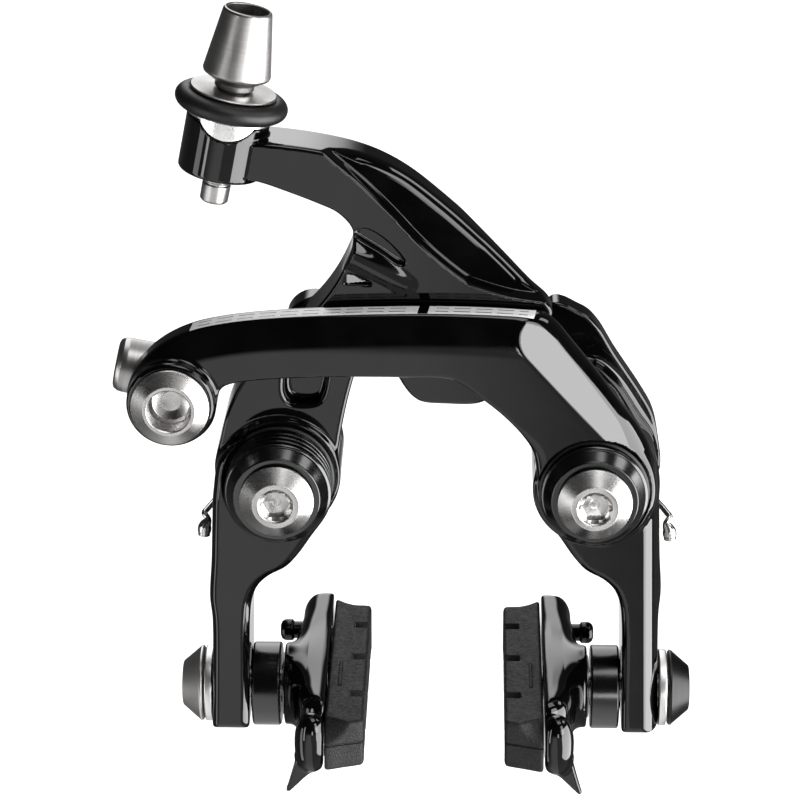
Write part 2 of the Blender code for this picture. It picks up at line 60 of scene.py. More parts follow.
# ------------------------------------------------------------------ camera
scene = bpy.context.scene
scene.view_settings.view_transform = "Standard"
scene.view_settings.look = "None"
cam_data = bpy.data.cameras.new("camera")
cam_data.lens = 147.76
cam_data.sensor_width = 36.0
cam_data.clip_start, cam_data.clip_end = 0.02, 30.0
cam = bpy.data.objects.new("camera", cam_data)
scene.collection.objects.link(cam)
azimuth, elevation, distance = math.radians(1.3), math.radians(21.8), 0.650
back = Vector((math.sin(azimuth) * math.cos(elevation), -math.cos(azimuth) * math.cos(elevation), math.sin(elevation)))
target = Vector((-7.323, -15.0, 14.400)) * MM
cam.location = target + back * distance
cam.rotation_mode = "QUATERNION"
cam.rotation_quaternion = (-back).to_track_quat("-Z", "Y")
scene.camera = cam


# ------------------------------------------------------------------ materials
def nodes_of(name):
    mat = bpy.data.materials.new(name)
    mat.use_nodes = True
    tree = mat.node_tree
    shader = tree.nodes["Principled BSDF"]
    return mat, tree, shader


def add(tree, kind, **values):
    node = tree.nodes.new(kind)
    for key, value in values.items():
        if key in node.inputs:
            node.inputs[key].default_value = value
        else:
            setattr(node, key, value)
    return node


def noise(tree, vector, scale, detail=2.0, rough=0.5):
    node = add(tree, "ShaderNodeTexNoise")
    node.inputs["Scale"].default_value = scale
    node.inputs["Detail"].default_value = detail
    node.inputs["Roughness"].default_value = rough
    if vector is not None:
        tree.links.new(vector, node.inputs["Vector"])
    return node.outputs["Fac"]


def span(tree, value, low, high, a=0.0, b=1.0):
    node = add(tree, "ShaderNodeMapRange")
    node.inputs["From Min"].default_value = a
    node.inputs["From Max"].default_value = b
    node.inputs["To Min"].default_value = low
    node.inputs["To Max"].default_value = high
    tree.links.new(value, node.inputs["Value"])
    return node.outputs["Result"]


def mix_color(tree, factor, a, b):
    node = add(tree, "ShaderNodeMix")
    node.data_type = "RGBA"
    sock = {s.identifier: s for s in node.inputs}
    sock["A_Color"].default_value = (*a, 1)
    sock["B_Color"].default_value = (*b, 1)
    tree.links.new(factor, sock["Factor_Float"])
    return next(o for o in node.outputs if o.identifier == "Result_Color")


def bump(tree, height, strength, depth, normal=None):
    node = add(tree, "ShaderNodeBump")
    node.inputs["Strength"].default_value = strength
    node.inputs["Distance"].default_value = depth
    tree.links.new(height, node.inputs["Height"])
    if normal is not None:
        tree.links.new(normal, node.inputs["Normal"])
    return node.outputs["Normal"]


def object_coords(tree):
    return add(tree, "ShaderNodeTexCoord").outputs["Object"]


def lacquer():
    """Deep gloss black lacquer: a trace of orange peel, faint unevenness in the shine."""
    mat, tree, s = nodes_of("gloss_black_lacquer")
    where = object_coords(tree)
    wide = noise(tree, where, 140.0, 2.0)
    fine = noise(tree, where, 900.0, 1.0)
    dust = noise(tree, where, 5200.0, 0.0)
    tree.links.new(mix_color(tree, span(tree, wide, 0, 1, 0.35, 0.65), (0.0006, 0.0006, 0.0007), (0.0014, 0.0014, 0.0016)), s.inputs["Base Color"])
    rough = span(tree, fine, 0.035, 0.060, 0.3, 0.7)
    tree.links.new(rough, s.inputs["Roughness"])
    normal = bump(tree, wide, 0.010, 0.0006)
    normal = bump(tree, fine, 0.012, 0.00006, normal)
    normal = bump(tree, dust, 0.008, 0.00001, normal)
    tree.links.new(normal, s.inputs["Normal"])
    s.inputs["IOR"].default_value = 1.5
    return mat


def turned_metal(name, color, rough, ring=9000.0, strength=0.16, aniso=0.72, metallic=1.0, spin=True, ior=1.5):
    """Metal off a lathe: fine concentric tool marks about the object's own Z, a little uneven in shine."""
    mat, tree, s = nodes_of(name)
    where = object_coords(tree)
    split = add(tree, "ShaderNodeSeparateXYZ")
    tree.links.new(where, split.inputs[0])
    flat = add(tree, "ShaderNodeCombineXYZ")
    tree.links.new(split.outputs["X"], flat.inputs["X"])
    tree.links.new(split.outputs["Y"], flat.inputs["Y"])
    length = add(tree, "ShaderNodeVectorMath", operation="LENGTH")
    tree.links.new(flat.outputs[0], length.inputs[0])
    polar = add(tree, "ShaderNodeCombineXYZ")
    tree.links.new(length.outputs["Value"], polar.inputs["X"])
    tree.links.new(split.outputs["Z"], polar.inputs["Y"])
    marks = noise(tree, polar.outputs[0], ring, 2.0, 0.6)
    coarse = noise(tree, polar.outputs[0], ring * 0.22, 2.0, 0.5)
    cloud = noise(tree, where, 420.0, 3.0)
    both = add(tree, "ShaderNodeMath", operation="ADD")
    tree.links.new(marks, both.inputs[0])
    tree.links.new(coarse, both.inputs[1])
    dark = tuple(c * 0.80 for c in color)
    tree.links.new(mix_color(tree, span(tree, both.outputs[0], 0, 1, 0.7, 1.3), dark, color), s.inputs["Base Color"])
    tree.links.new(span(tree, cloud, rough * 0.93, rough * 1.08, 0.3, 0.7), s.inputs["Roughness"])
    tree.links.new(bump(tree, both.outputs[0], strength, 0.00001), s.inputs["Normal"])
    s.inputs["Metallic"].default_value = metallic
    s.inputs["IOR"].default_value = ior
    if spin:
        s.inputs["Anisotropic"].default_value = aniso
        tangent = add(tree, "ShaderNodeTangent", direction_type="RADIAL", axis="Z")
        tree.links.new(tangent.outputs[0], s.inputs["Tangent"])
    return mat


def cast_metal(name, color, rough, scale=700.0, strength=0.12):
    """Plated wire and stamped steel: soft hammered unevenness."""
    mat, tree, s = nodes_of(name)
    where = object_coords(tree)
    lumps = noise(tree, where, scale, 3.0)
    fine = noise(tree, where, scale * 7, 2.0)
    tree.links.new(mix_color(tree, span(tree, lumps, 0, 1, 0.3, 0.7), tuple(c * 0.78 for c in color), color), s.inputs["Base Color"])
    tree.links.new(span(tree, fine, rough * 0.7, rough * 1.3, 0.3, 0.7), s.inputs["Roughness"])
    normal = bump(tree, lumps, strength, 0.0003)
    tree.links.new(bump(tree, fine, strength * 0.5, 0.00003, normal), s.inputs["Normal"])
    s.inputs["Metallic"].default_value = 1.0
    return mat


def rubber():
    mat, tree, s = nodes_of("matt_rubber")
    where = object_coords(tree)
    grain = noise(tree, where, 6500.0, 2.0)
    cloud = noise(tree, where, 260.0, 3.0)
    s.inputs["Specular IOR Level"].default_value = 0.4
    tree.links.new(mix_color(tree, span(tree, cloud, 0, 1, 0.3, 0.7), (0.0022, 0.0022, 0.0024), (0.0050, 0.0050, 0.0052)), s.inputs["Base Color"])
    tree.links.new(span(tree, cloud, 0.40, 0.52, 0.3, 0.7), s.inputs["Roughness"])
    tree.links.new(bump(tree, grain, 0.30, 0.00003), s.inputs["Normal"])
    return mat


def compound():
    """Moulded brake compound: dark grey with a sandy grain and pale specks."""
    mat, tree, s = nodes_of("brake_compound")
    where = object_coords(tree)
    grain = noise(tree, where, 4200.0, 2.0, 0.65)
    coarse = noise(tree, where, 1500.0, 2.0)
    speck = add(tree, "ShaderNodeTexVoronoi", feature="F1")
    speck.inputs["Scale"].default_value = 2600.0
    tree.links.new(where, speck.inputs["Vector"])
    base = mix_color(tree, span(tree, grain, 0, 1, 0.35, 0.65), (0.0030, 0.0030, 0.0032), (0.0170, 0.0170, 0.0176))
    tree.links.new(base, s.inputs["Base Color"])
    tree.links.new(span(tree, coarse, 0.42, 0.62, 0.3, 0.7), s.inputs["Roughness"])
    s.inputs["Specular IOR Level"].default_value = 0.22
    normal = bump(tree, speck.outputs["Distance"], 0.45, 0.00012)
    tree.links.new(bump(tree, grain, 0.75, 0.00012, normal), s.inputs["Normal"])
    return mat


def print_white():
    """White pad-printed ink on the lacquer, with a faint screen grain."""
    mat, tree, s = nodes_of("white_print")
    where = object_coords(tree)
    grain = noise(tree, where, 5200.0, 2.0)
    tree.links.new(mix_color(tree, span(tree, grain, 0, 1, 0.3, 0.7), (0.66, 0.66, 0.66), (0.80, 0.80, 0.80)), s.inputs["Base Color"])
    tree.links.new(span(tree, grain, 0.28, 0.40, 0.3, 0.7), s.inputs["Roughness"])
    tree.links.new(bump(tree, grain, 0.1, 0.00001), s.inputs["Normal"])
    return mat


LACQUER = lacquer()
STEEL = turned_metal("turned_stainless", (0.56, 0.55, 0.54), 0.27)
STEEL_SOFT = turned_metal("fine_turned_stainless", (0.42, 0.412, 0.405), 0.31, ring=12000.0, aniso=0.6)
STEEL_DULL = turned_metal("dull_turned_steel", (0.62, 0.61, 0.60), 0.36, ring=5000.0, aniso=0.5)
BRIGHT = turned_metal("bright_turned_washer", (0.86, 0.85, 0.84), 0.36, ring=5000.0, aniso=0.3)
HARD = turned_metal("ground_bearing_steel", (0.22, 0.215, 0.21), 0.25, ring=7000.0)
ANODISED = turned_metal("black_anodised", (0.0016, 0.0016, 0.0018), 0.17, ring=6500.0, strength=0.30, aniso=0.5, metallic=0.0, ior=1.7)
BRONZE = turned_metal("sintered_bronze", (0.30, 0.20, 0.09), 0.40)
WIRE = cast_metal("plated_wire", (0.62, 0.61, 0.60), 0.22)
STAMPED = cast_metal("stamped_steel", (0.88, 0.87, 0.86), 0.30, 300.0, 0.02)
DARK_STEEL = turned_metal("blackened_steel", (0.035, 0.035, 0.036), 0.16, ring=7000.0)
DARK_NUT = turned_metal("dark_turned_steel", (0.030, 0.030, 0.030), 0.30, ring=3500.0, strength=0.4, aniso=0.5)
RUBBER = rubber()
COMPOUND = compound()
PRINT = print_white()


# ------------------------------------------------------------------ outlines and distance fields
def smooth_outline(points, steps=10):
    """Closed centripetal curve through the points. A point with a third value of 1 stays a corner."""
    out = []
    n = len(points)
    for i in range(n):
        p = [np.array(points[(i + k) % n][:2], float) for k in (-1, 0, 1, 2)]
        if len(points[i]) > 2:
            p[0] = p[1] * 2 - p[2]
        if len(points[(i + 1) % n]) > 2:
            p[3] = p[2] * 2 - p[1]
        t = [0.0]
        for a, b in zip(p, p[1:]):
            t.append(t[-1] + max(np.linalg.norm(b - a), 1e-6) ** 0.5)
        for s in range(steps):
            u = t[1] + (t[2] - t[1]) * s / steps
            a1 = (t[1] - u) / (t[1] - t[0]) * p[0] + (u - t[0]) / (t[1] - t[0]) * p[1]
            a2 = (t[2] - u) / (t[2] - t[1]) * p[1] + (u - t[1]) / (t[2] - t[1]) * p[2]
            a3 = (t[3] - u) / (t[3] - t[2]) * p[2] + (u - t[2]) / (t[3] - t[2]) * p[3]
            b1 = (t[2] - u) / (t[2] - t[0]) * a1 + (u - t[0]) / (t[2] - t[0]) * a2
            b2 = (t[3] - u) / (t[3] - t[1]) * a2 + (u - t[1]) / (t[3] - t[1]) * a3
            out.append((t[2] - u) / (t[2] - t[1]) * b1 + (u - t[1]) / (t[2] - t[1]) * b2)
    return np.array(out)


class Field:
    """Signed distance to a closed outline, negative inside, kept on a grid and read back with a cubic B-spline."""

    def __init__(self, points, step=0.3, margin=7.0, blur=0.35):
        pts = np.asarray(points, np.float32)
        self.step = step
        self.low = pts.min(0) - margin
        count = np.ceil((pts.max(0) + margin - self.low) / step).astype(int) + 1
        u = (self.low[0] + step * np.arange(count[0])).astype(np.float32)[:, None]
        v = (self.low[1] + step * np.arange(count[1])).astype(np.float32)[None, :]
        best = np.full((count[0], count[1]), 1e9, np.float32)
        inside = np.zeros(best.shape, bool)
        for a, b in zip(pts, np.roll(pts, -1, axis=0)):
            d = b - a
            w = float(d @ d)
            if w < 1e-12:
                continue
            pu, pv = u - a[0], v - a[1]
            h = np.clip((pu * d[0] + pv * d[1]) / w, 0, 1)
            best = np.minimum(best, (pu - h * d[0]) ** 2 + (pv - h * d[1]) ** 2)
            crosses = (a[1] > v) != (b[1] > v)
            if crosses.any():
                at = a[0] + (v - a[1]) * d[0] / (d[1] if abs(d[1]) > 1e-9 else 1e-9)
                inside ^= crosses & (u < at)
        grid = np.where(inside, -1, 1).astype(np.float32) * np.sqrt(best)
        if blur:
            reach = int(math.ceil(3 * blur / step))
            kernel = np.exp(-0.5 * (np.arange(-reach, reach + 1) * step / blur) ** 2)
            kernel = (kernel / kernel.sum()).astype(np.float32)
            for axis in (0, 1):
                padded = np.pad(grid, [(reach, reach) if k == axis else (0, 0) for k in (0, 1)], mode="edge")
                size = grid.shape[axis]
                grid = sum(k * np.take(padded, range(i, i + size), axis=axis) for i, k in enumerate(kernel))
        self.grid = grid.astype(np.float32)

    def __call__(self, u, v):
        g = self.grid
        u = np.clip((u - self.low[0]) / self.step, 1.0, g.shape[0] - 3.001)
        v = np.clip((v - self.low[1]) / self.step, 1.0, g.shape[1] - 3.001)
        i, j = np.floor(u).astype(np.int32), np.floor(v).astype(np.int32)

        def weights(f):
            return ((1 - f) ** 3 / 6, (3 * f ** 3 - 6 * f ** 2 + 4) / 6, (-3 * f ** 3 + 3 * f ** 2 + 3 * f + 1) / 6, f ** 3 / 6)

        wu, wv = weights(u - i), weights(v - j)
        total = 0.0
        for a in range(4):
            row = 0.0
            for b in range(4):
                row = row + wv[b] * g[i + (a - 1), j + (b - 1)]
            total = total + wu[a] * row
        return total


def smin(a, b, k):
    h = np.clip(0.5 + 0.5 * (b - a) / k, 0, 1)
    return b + (a - b) * h - k * h * (1 - h)


def smax(a, b, k):
    return -smin(-a, -b, k)


def extrude(d, y, low, high, r):
    """Outline distance d carried from low to high, its rims rounded by r."""
    a = d + r
    b = np.abs(y - (low + high) / 2) - (high - low) / 2 + r
    return np.minimum(np.maximum(a, b), 0) + np.sqrt(np.maximum(a, 0) ** 2 + np.maximum(b, 0) ** 2) - r


def chamfered(d, y, low, high, front, rear, k=0.45):
    """Outline carried from low to high, with flat 45 degree chamfers; every corner is eased by k."""
    f, b = low - y, y - high
    s = smax(smax(d, f, k), b, k)
    if front is not None:
        s = smax(s, (d + f + front) * 0.70711, k)
    if rear is not None:
        s = smax(s, (d + b + rear) * 0.70711, k)
    return s


def ease(x, low, high):
    t = np.clip((x - low) / (high - low), 0, 1)
    return t * t * (3 - 2 * t)


def cylinder_y(x, y, z, cx, cz, r, low, high, edge):
    return extrude(np.sqrt((x - cx) ** 2 + (z - cz) ** 2) - r, y, low, high, edge)


def along(point, axis):
    """Functions of position: distance along the axis from the point, and distance from the axis."""
    p, a = np.array(point, np.float32), np.array(axis, np.float32)

    def of(x, y, z):
        s = (x - p[0]) * a[0] + (y - p[1]) * a[1] + (z - p[2]) * a[2]
        r2 = (x - p[0] - s * a[0]) ** 2 + (y - p[1] - s * a[1]) ** 2 + (z - p[2] - s * a[2]) ** 2
        return s, np.sqrt(np.maximum(r2, 1e-9))

    return of


def nets(function, low, high, cell):
    """Surface nets: vertices and outward quads where the function crosses zero."""
    low = np.array(low, np.float32)
    count = np.ceil((np.array(high) - low) / cell).astype(int) + 1
    axes = [(low[k] + cell * np.arange(count[k])).astype(np.float32) for k in range(3)]
    value = np.empty(tuple(count), np.float32)
    for start in range(0, count[0], 12):
        stop = min(start + 12, count[0])
        value[start:stop] = function(axes[0][start:stop, None, None], axes[1][None, :, None], axes[2][None, None, :])
    sign = value < 0
    n = [c - 1 for c in count]
    corners = [(a, b, c) for a in (0, 1) for b in (0, 1) for c in (0, 1)]

    def at(array, o):
        return array[o[0]:o[0] + n[0], o[1]:o[1] + n[1], o[2]:o[2] + n[2]]

    total = sum(at(sign, o).astype(np.int8) for o in corners)
    cells = np.argwhere((total > 0) & (total < 8))
    index = np.full(tuple(n), -1, np.int32)
    index[tuple(cells.T)] = np.arange(len(cells))
    corner_value = np.stack([value[cells[:, 0] + o[0], cells[:, 1] + o[1], cells[:, 2] + o[2]] for o in corners], 1)
    sums, hits = np.zeros((len(cells), 3), np.float32), np.zeros(len(cells), np.float32)
    for i, p in enumerate(corners):
        for j in range(i + 1, 8):
            q = corners[j]
            if sum(abs(a - b) for a, b in zip(p, q)) != 1:
                continue
            a, b = corner_value[:, i], corner_value[:, j]
            cross = (a < 0) != (b < 0)
            t = np.where(cross, a / np.where(cross, a - b, 1), 0)
            point = np.array(p, np.float32) + t[:, None] * (np.array(q, np.float32) - np.array(p, np.float32))
            sums += np.where(cross[:, None], point, 0)
            hits += cross
    verts = low + cell * (cells + sums / hits[:, None])
    quads = []
    for axis in range(3):
        o1, o2 = [k for k in range(3) if k != axis]
        step = [0, 0, 0]
        step[axis] = 1
        first = sign[tuple(slice(0, count[k] - step[k]) for k in range(3))]
        second = sign[tuple(slice(step[k], count[k]) for k in range(3))]
        edges = np.argwhere(first != second)
        edges = edges[(edges[:, o1] > 0) & (edges[:, o2] > 0) & (edges[:, o1] < n[o1]) & (edges[:, o2] < n[o2])]
        if not len(edges):
            continue
        ring = []
        for d1, d2 in ((0, 0), (-1, 0), (-1, -1), (0, -1)):
            c = edges.copy()
            c[:, o1] += d1
            c[:, o2] += d2
            ring.append(index[tuple(c.T)])
        q = np.stack(ring, 1)
        flip = first[tuple(edges.T)]
        if axis == 1:
            flip = ~flip
        q[~flip] = q[~flip][:, ::-1]
        quads.append(q)
    return verts, np.concatenate(quads)


def gradient(function, p, eps=0.06):
    g = np.empty_like(p)
    for k in range(3):
        a, b = p.copy(), p.copy()
        a[:, k] += eps
        b[:, k] -= eps
        g[:, k] = (function(*a.T) - function(*b.T)) / (2 * eps)
    return g


def settle(function, p, passes=2):
    """Moves points onto the zero surface and returns them with the surface normals there."""
    p = p.astype(np.float32)
    for _ in range(passes):
        g = gradient(function, p)
        size = np.maximum((g ** 2).sum(1, keepdims=True), 0.05)
        move = -function(*p.T)[:, None] * g / size
        length = np.linalg.norm(move, axis=1, keepdims=True)
        p = p + move * np.minimum(1, 0.35 / np.maximum(length, 1e-6))
    g = gradient(function, p, 0.05)
    return p, g / np.maximum(np.linalg.norm(g, axis=1, keepdims=True), 1e-6)


def finish_piece(obj, mat, body, stands_for=()):
    obj.data.materials.clear()
    obj.data.materials.append(mat)
    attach(obj, body)
    if stands_for:
        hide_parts(*stands_for)
    return obj


def carve(name, function, low, high, cell, keep=0.4, mirror=False):
    """Mesh object of the solid where the function is negative, thinned where it is flat, with exact shading normals."""
    verts, quads = nets(function, low, high, cell)
    mesh = bpy.data.meshes.new(name)
    mesh.from_pydata(verts.tolist(), [], quads.tolist())
    mesh.update()
    if keep < 1:
        obj = bpy.data.objects.new(name + "_full", mesh)
        scene.collection.objects.link(obj)
        settled, _ = settle(function, verts, 1)
        mesh.vertices.foreach_set("co", settled.ravel())
        mesh.update()
        thin = obj.modifiers.new("thin", "DECIMATE")
        thin.ratio = keep
        made = obj.evaluated_get(bpy.context.evaluated_depsgraph_get())
        new = bpy.data.meshes.new_from_object(made)
        bpy.data.objects.remove(obj)
        bpy.data.meshes.remove(mesh)
        mesh = new
        mesh.name = name
    co = np.empty(len(mesh.vertices) * 3, np.float32)
    mesh.vertices.foreach_get("co", co)
    p, normal = settle(function, co.reshape(-1, 3), 2)
    return surface(name, mesh, p, normal, mirror)


def surface(name, mesh, p, normal, mirror=False):
    if mirror:
        faces = [tuple(reversed(f.vertices)) for f in mesh.polygons]
        bpy.data.meshes.remove(mesh)
        mesh = bpy.data.meshes.new(name)
        p, normal = p * (-1, 1, 1), normal * (-1, 1, 1)
        mesh.from_pydata((p * MM).tolist(), [], faces)
    else:
        mesh.vertices.foreach_set("co", (p * MM).astype(np.float32).ravel())
    mesh.update()
    mesh.shade_smooth()
    mesh.normals_split_custom_set_from_vertices(normal.tolist())
    obj = bpy.data.objects.new(name, mesh)
    scene.collection.objects.link(obj)
    return obj


# ------------------------------------------------------------------ rear arm
LEG_LEFT = [
    (-45.4, LEG_BOTTOM, 1), (-45.1, -44.0), (-44.9, -30.0), (-45.3, -25.5), (-44.8, -17.0), (-44.5, -9.0), (-44.1, -2.0),
    (-42.6, 5.0), (-37.0, 9.5), (-29.0, 9.5), (-22.0, 4.0), (-20.3, -2.0), (-21.6, -7.0), (-24.8, -11.9), (-27.4, -15.8),
    (-29.9, -18.6), (-33.4, -20.6), (-35.6, -22.8), (-36.8, -25.8), (-37.3, -30.0), (-37.5, -36.0), (-37.8, LEG_BOTTOM, 1),
]
UPPER = [
    (-43.6, 0.0), (-42.6, 8.2), (-40.9, 14.4), (-38.4, 19.4), (-34.0, 24.8), (-28.5, 30.0), (-23.2, 35.4), (-20.0, 39.8),
    (-17.8, 44.0), (-16.3, 48.2), (-16.5, 51.4), (-19.3, 54.6), (-23.0, 56.4), (-28.0, 58.4), (-33.6, 60.4), (-38.5, 61.6, 1),
    (-38.0, 68.8, 1), (-32.5, 68.5), (-27.0, 67.9), (-21.0, 66.9), (-16.0, 65.7), (-11.0, 63.8), (-5.5, 60.6), (2.3, 54.2),
    (12.2, 45.0), (18.0, 39.4), (21.6, 36.4), (22.5, 34.4), (21.0, 32.2), (16.6, 28.2), (13.2, 24.0), (11.4, 19.6),
    (10.2, 16.4), (7.8, 15.3), (2.0, 15.2), (-3.2, 15.7), (-5.4, 17.4), (-7.6, 20.8), (-9.6, 24.6), (-12.0, 27.2),
    (-14.4, 26.4), (-15.9, 22.0), (-17.4, 16.4), (-18.6, 10.6), (-19.6, 4.4), (-20.4, 0.0), (-26.0, -4.0), (-36.0, -4.0),
]
# The crease where the front face drops into the long triangular pocket, closed far outside the ridge
CREASE = [
    (-25.6, 70.8, 1), (-23.3, 68.0), (-20.6, 65.2), (-15.1, 60.4), (-9.3, 54.5), (-3.8, 48.4), (1.9, 43.2), (5.6, 40.5),
    (9.4, 39.0), (14.7, 37.5), (20.0, 36.7, 1), (30.0, 35.6, 1), (34.0, 80.0, 1), (-20.0, 84.0, 1),
]
WINDOW = [(-29.9, 17.4), (-29.2, 15.9), (-27.9, 15.2), (-24.3, 15.2), (-22.9, 15.9), (-22.2, 17.4), (-21.2, 23.0), (-20.2, 28.0), (-24.0, 30.0), (-28.8, 27.6), (-29.7, 22.0)]
LENS = [(-16.2, 50.7), (-14.0, 51.6), (-9.6, 49.0), (-6.2, 44.6), (-7.0, 44.2), (-10.9, 46.8), (-15.4, 49.7)]
FACET = [(-19.6, 41.6), (-16.9, 42.4), (-12.5, 40.1), (-15.4, 40.2), (-18.9, 40.6)]
field_leg = Field(smooth_outline(LEG_LEFT))
field_upper = Field(smooth_outline(UPPER))
field_crease = Field(smooth_outline(CREASE), margin=4, blur=0.15)
field_window = Field(smooth_outline(WINDOW), margin=5)
field_lens = Field(smooth_outline(LENS), margin=4, blur=0.2)
field_facet = Field(smooth_outline(FACET), margin=4, blur=0.15)
cable_axis = along(STEM_END, ALONG_CABLE)
DETENT = np.array(STEM_END) + 21.2 * np.array(ALONG_CABLE)


def rear_arm(x, y, z):
    upper = field_upper(x, z)
    # Front face of the plate: flat, with the pocket falling away behind the crease and sloping back to the top ridge
    crease = field_crease(x, z)
    inner = np.maximum(-crease, 0)
    front = -19.4 + ease(inner, 0.05, 1.15) * 2.3 + 0.30 * inner
    plate = smax(upper, (front - y) * 0.94, 0.9 + 1.3 * ease(inner, 1.0, 3.0))
    plate = smax(plate, y + 7.0, 1.2)
    # The neck's upper edge is broken by a soft chamfer, which fades out along the ridge
    chamfer = (upper + (front - y) + 0.3) * 0.70711 - 4.0 * ease(-z, -60.0, -54.0) - 3.0 * ease(x, -28.0, -14.0)
    plate = smax(plate, chamfer, 0.35)
    # Lightening details on the front face
    lens = smax(field_lens(x, z), y + 18.2, 0.7)
    plate = smax(plate, -lens, 0.5)
    facet = smax(field_facet(x, z), y + 18.6 - 0.42 * (x + 16), 0.3)
    plate = smax(plate, -facet, 0.3)
    ax, az, bx, bz = -20.1, 48.4, -6.0, 40.2
    t = np.clip(((x - ax) * (bx - ax) + (z - az) * (bz - az)) / ((bx - ax) ** 2 + (bz - az) ** 2), 0, 1)
    rib_r = 3.3 - 0.3 * t
    rib = np.sqrt((x - ax - t * (bx - ax)) ** 2 + (z - az - t * (bz - az)) ** 2 + (y + 18.0 - 1.9 * t) ** 2) - rib_r
    rib = smax(rib, upper + 0.35, 0.4)
    plate = smin(plate, rib, 1.1)
    window = smax(field_window(x, z), y + 15.9, 1.2)
    plate = smax(plate, -window, 1.2)
    # Thinned tip between the front arm's cheeks
    tip = smax(-(y + 6.95 + 0.35 * (x - 3.0)) * 0.944, 24.0 - z, 0.8)
    plate = smax(plate, -tip, 0.6)
    # Leg and boss
    leg = chamfered(field_leg(x, z), y, -24.0, -6.0, 1.1, 1.2, 0.5)
    step = (x + 31.0) ** 2 + z ** 2
    radius = np.sqrt(step)
    boss = cylinder_y(x, y, z, -PIVOT_X, 0, 12.0, LEFT_BOSS_Y, -0.8, 0.7)
    solid = smin(plate, leg, 0.8)
    solid = smin(solid, boss, 0.9)
    # Adjuster boss: a short cylinder along the cable, blended into the arm
    s, r = cable_axis(x, y, z)
    adjuster = extrude(r - 8.1, s, 6.1, 17.6, 0.7)
    adjuster = smax(adjuster, -smax(np.sqrt((x - DETENT[0]) ** 2 + (z - DETENT[2]) ** 2) - 6.6, y + 16.4, 0.3), 0.3)
    solid = smin(solid, adjuster, 0.5)
    hump = cylinder_y(x, y, z, -24.6, 27.4, 5.6, -8.2, -1.2, 0.8)
    solid = smin(solid, hump, 0.8)
    # Holes
    cap = smax(radius - 11.25, y - LEFT_BOSS_Y, 0.3)
    solid = smax(solid, -cap, 0.35)
    bore = smin(smax(radius - 8.75, y + 6.2, 0.2), smax(radius - 9.4, -(y + 5.2), 0.2), 0.1)
    bore = smin(bore, radius - 6.6, 0.1)
    solid = smax(solid, -bore, 0.3)
    notch = smax(smax(np.abs(x + 40.0) - 7.5, np.abs(y + 2.0) - 3.0, 0.2), np.abs(z + 9.8) - 2.4, 0.2)
    solid = smax(solid, -notch, 0.3)
    half = np.maximum(np.abs(x - 3.15) - 4.35, 0)
    slot = np.sqrt(half ** 2 + np.maximum(np.abs(z - 27.65) - 2.0, 0) ** 2) - 2.1
    solid = smax(solid, -slot, 0.3)
    stem = smax(r - 3.5, np.maximum(-s, s - 24.0), 0.2)
    solid = smax(solid, -stem, 0.3)
    solid = smax(solid, -(np.sqrt((x + 24.6) ** 2 + (z - 27.4) ** 2) - 2.3 + np.maximum(-(y + 12.0), 0)), 0.3)
    up = np.clip(z, PAD_BOLT[1] - 1.5, PAD_BOLT[1] + 4.5)
    pad_slot = smax(np.sqrt((y - PAD_BOLT[0]) ** 2 + (z - up) ** 2) - 3.35, x + 30.0, 0.2)
    return smax(solid, -pad_slot, 0.3)


# ------------------------------------------------------------------ front arm
BLADE = [
    (-60.0, 18.6), (-59.3, 22.4), (-57.4, 25.9), (-54.5, 28.9), (-51.0, 31.2), (-47.0, 32.9), (-41.5, 34.2), (-35.0, 35.1),
    (-26.0, 35.8), (-12.0, 36.4), (0.0, 36.6), (10.0, 36.4), (17.0, 36.0), (20.6, 35.6), (23.2, 33.7), (26.2, 30.0),
    (31.4, 23.4), (36.2, 16.9), (39.8, 12.0), (42.0, 8.0), (43.2, 3.0), (43.4, -3.0), (40.0, -9.0), (33.0, -12.0), (25.6, -9.5),
    (20.8, -3.0), (19.8, 3.0), (18.9, 8.4), (16.3, 12.7), (12.6, 16.6), (8.6, 19.9), (5.4, 22.4), (2.6, 23.8), (-7.4, 24.1),
    (-22.5, 24.0), (-30.2, 23.6), (-35.2, 23.2), (-39.2, 22.6), (-41.5, 21.6), (-42.8, 19.0), (-43.6, 15.0), (-45.6, 12.1),
    (-48.5, 10.5), (-52.0, 10.0), (-55.6, 11.0), (-58.6, 13.9),
]
TOP = BLADE[:21] + [(52.0, -40.0, 1), (0.0, -60.0, 1), (-70.0, -40.0, 1)]
TOP[20] = (43.2, 3.0)
LEG_RIGHT = [(-p[0], *p[1:]) for p in LEG_LEFT]
CHEEK = [
    (22.6, 31.9), (24.8, 31.8), (27.6, 30.4), (29.8, 29.2), (32.0, 26.8), (35.2, 21.4), (40.8, 12.8), (43.2, 8.4), (44.5, 3.0),
    (44.8, -4.5), (41.0, -9.0), (31.0, -11.5), (23.0, -8.0), (20.4, -1.0), (19.0, 6.0), (18.0, 14.0), (18.6, 22.0), (20.4, 28.0),
]
WEB = [
    (19.8, 4.0), (19.0, 10.0), (20.0, 15.6), (24.6, 19.2), (30.6, 20.0), (35.0, 16.8), (39.8, 9.8), (43.0, 4.0), (43.8, -3.0),
    (40.0, -9.0), (31.0, -11.0), (23.0, -8.0),
]
field_blade = Field(smooth_outline(BLADE))
field_top = Field(smooth_outline(TOP), margin=3, step=0.35)
field_leg_right = Field(smooth_outline(LEG_RIGHT))
field_cheek = Field(smooth_outline(CHEEK))
field_web = Field(smooth_outline(WEB))


def blade_front(x, z):
    """Y of the front arm's front face: flat below, rolling back towards the top edge, with one flat facet on the knee."""
    below = np.clip(-field_top(x, z), 0, 8.0)
    crown = -28.0 + 2.5 * ((8.0 - below) / 8.0) ** 2 * (1 - 0.5 * ease(x, 27.0, 38.0))
    facet = -28.0 + 0.45 * ((x - 21.4) * 0.746 + (z - 23.6) * 0.666)
    return smax(crown, facet, 0.18)


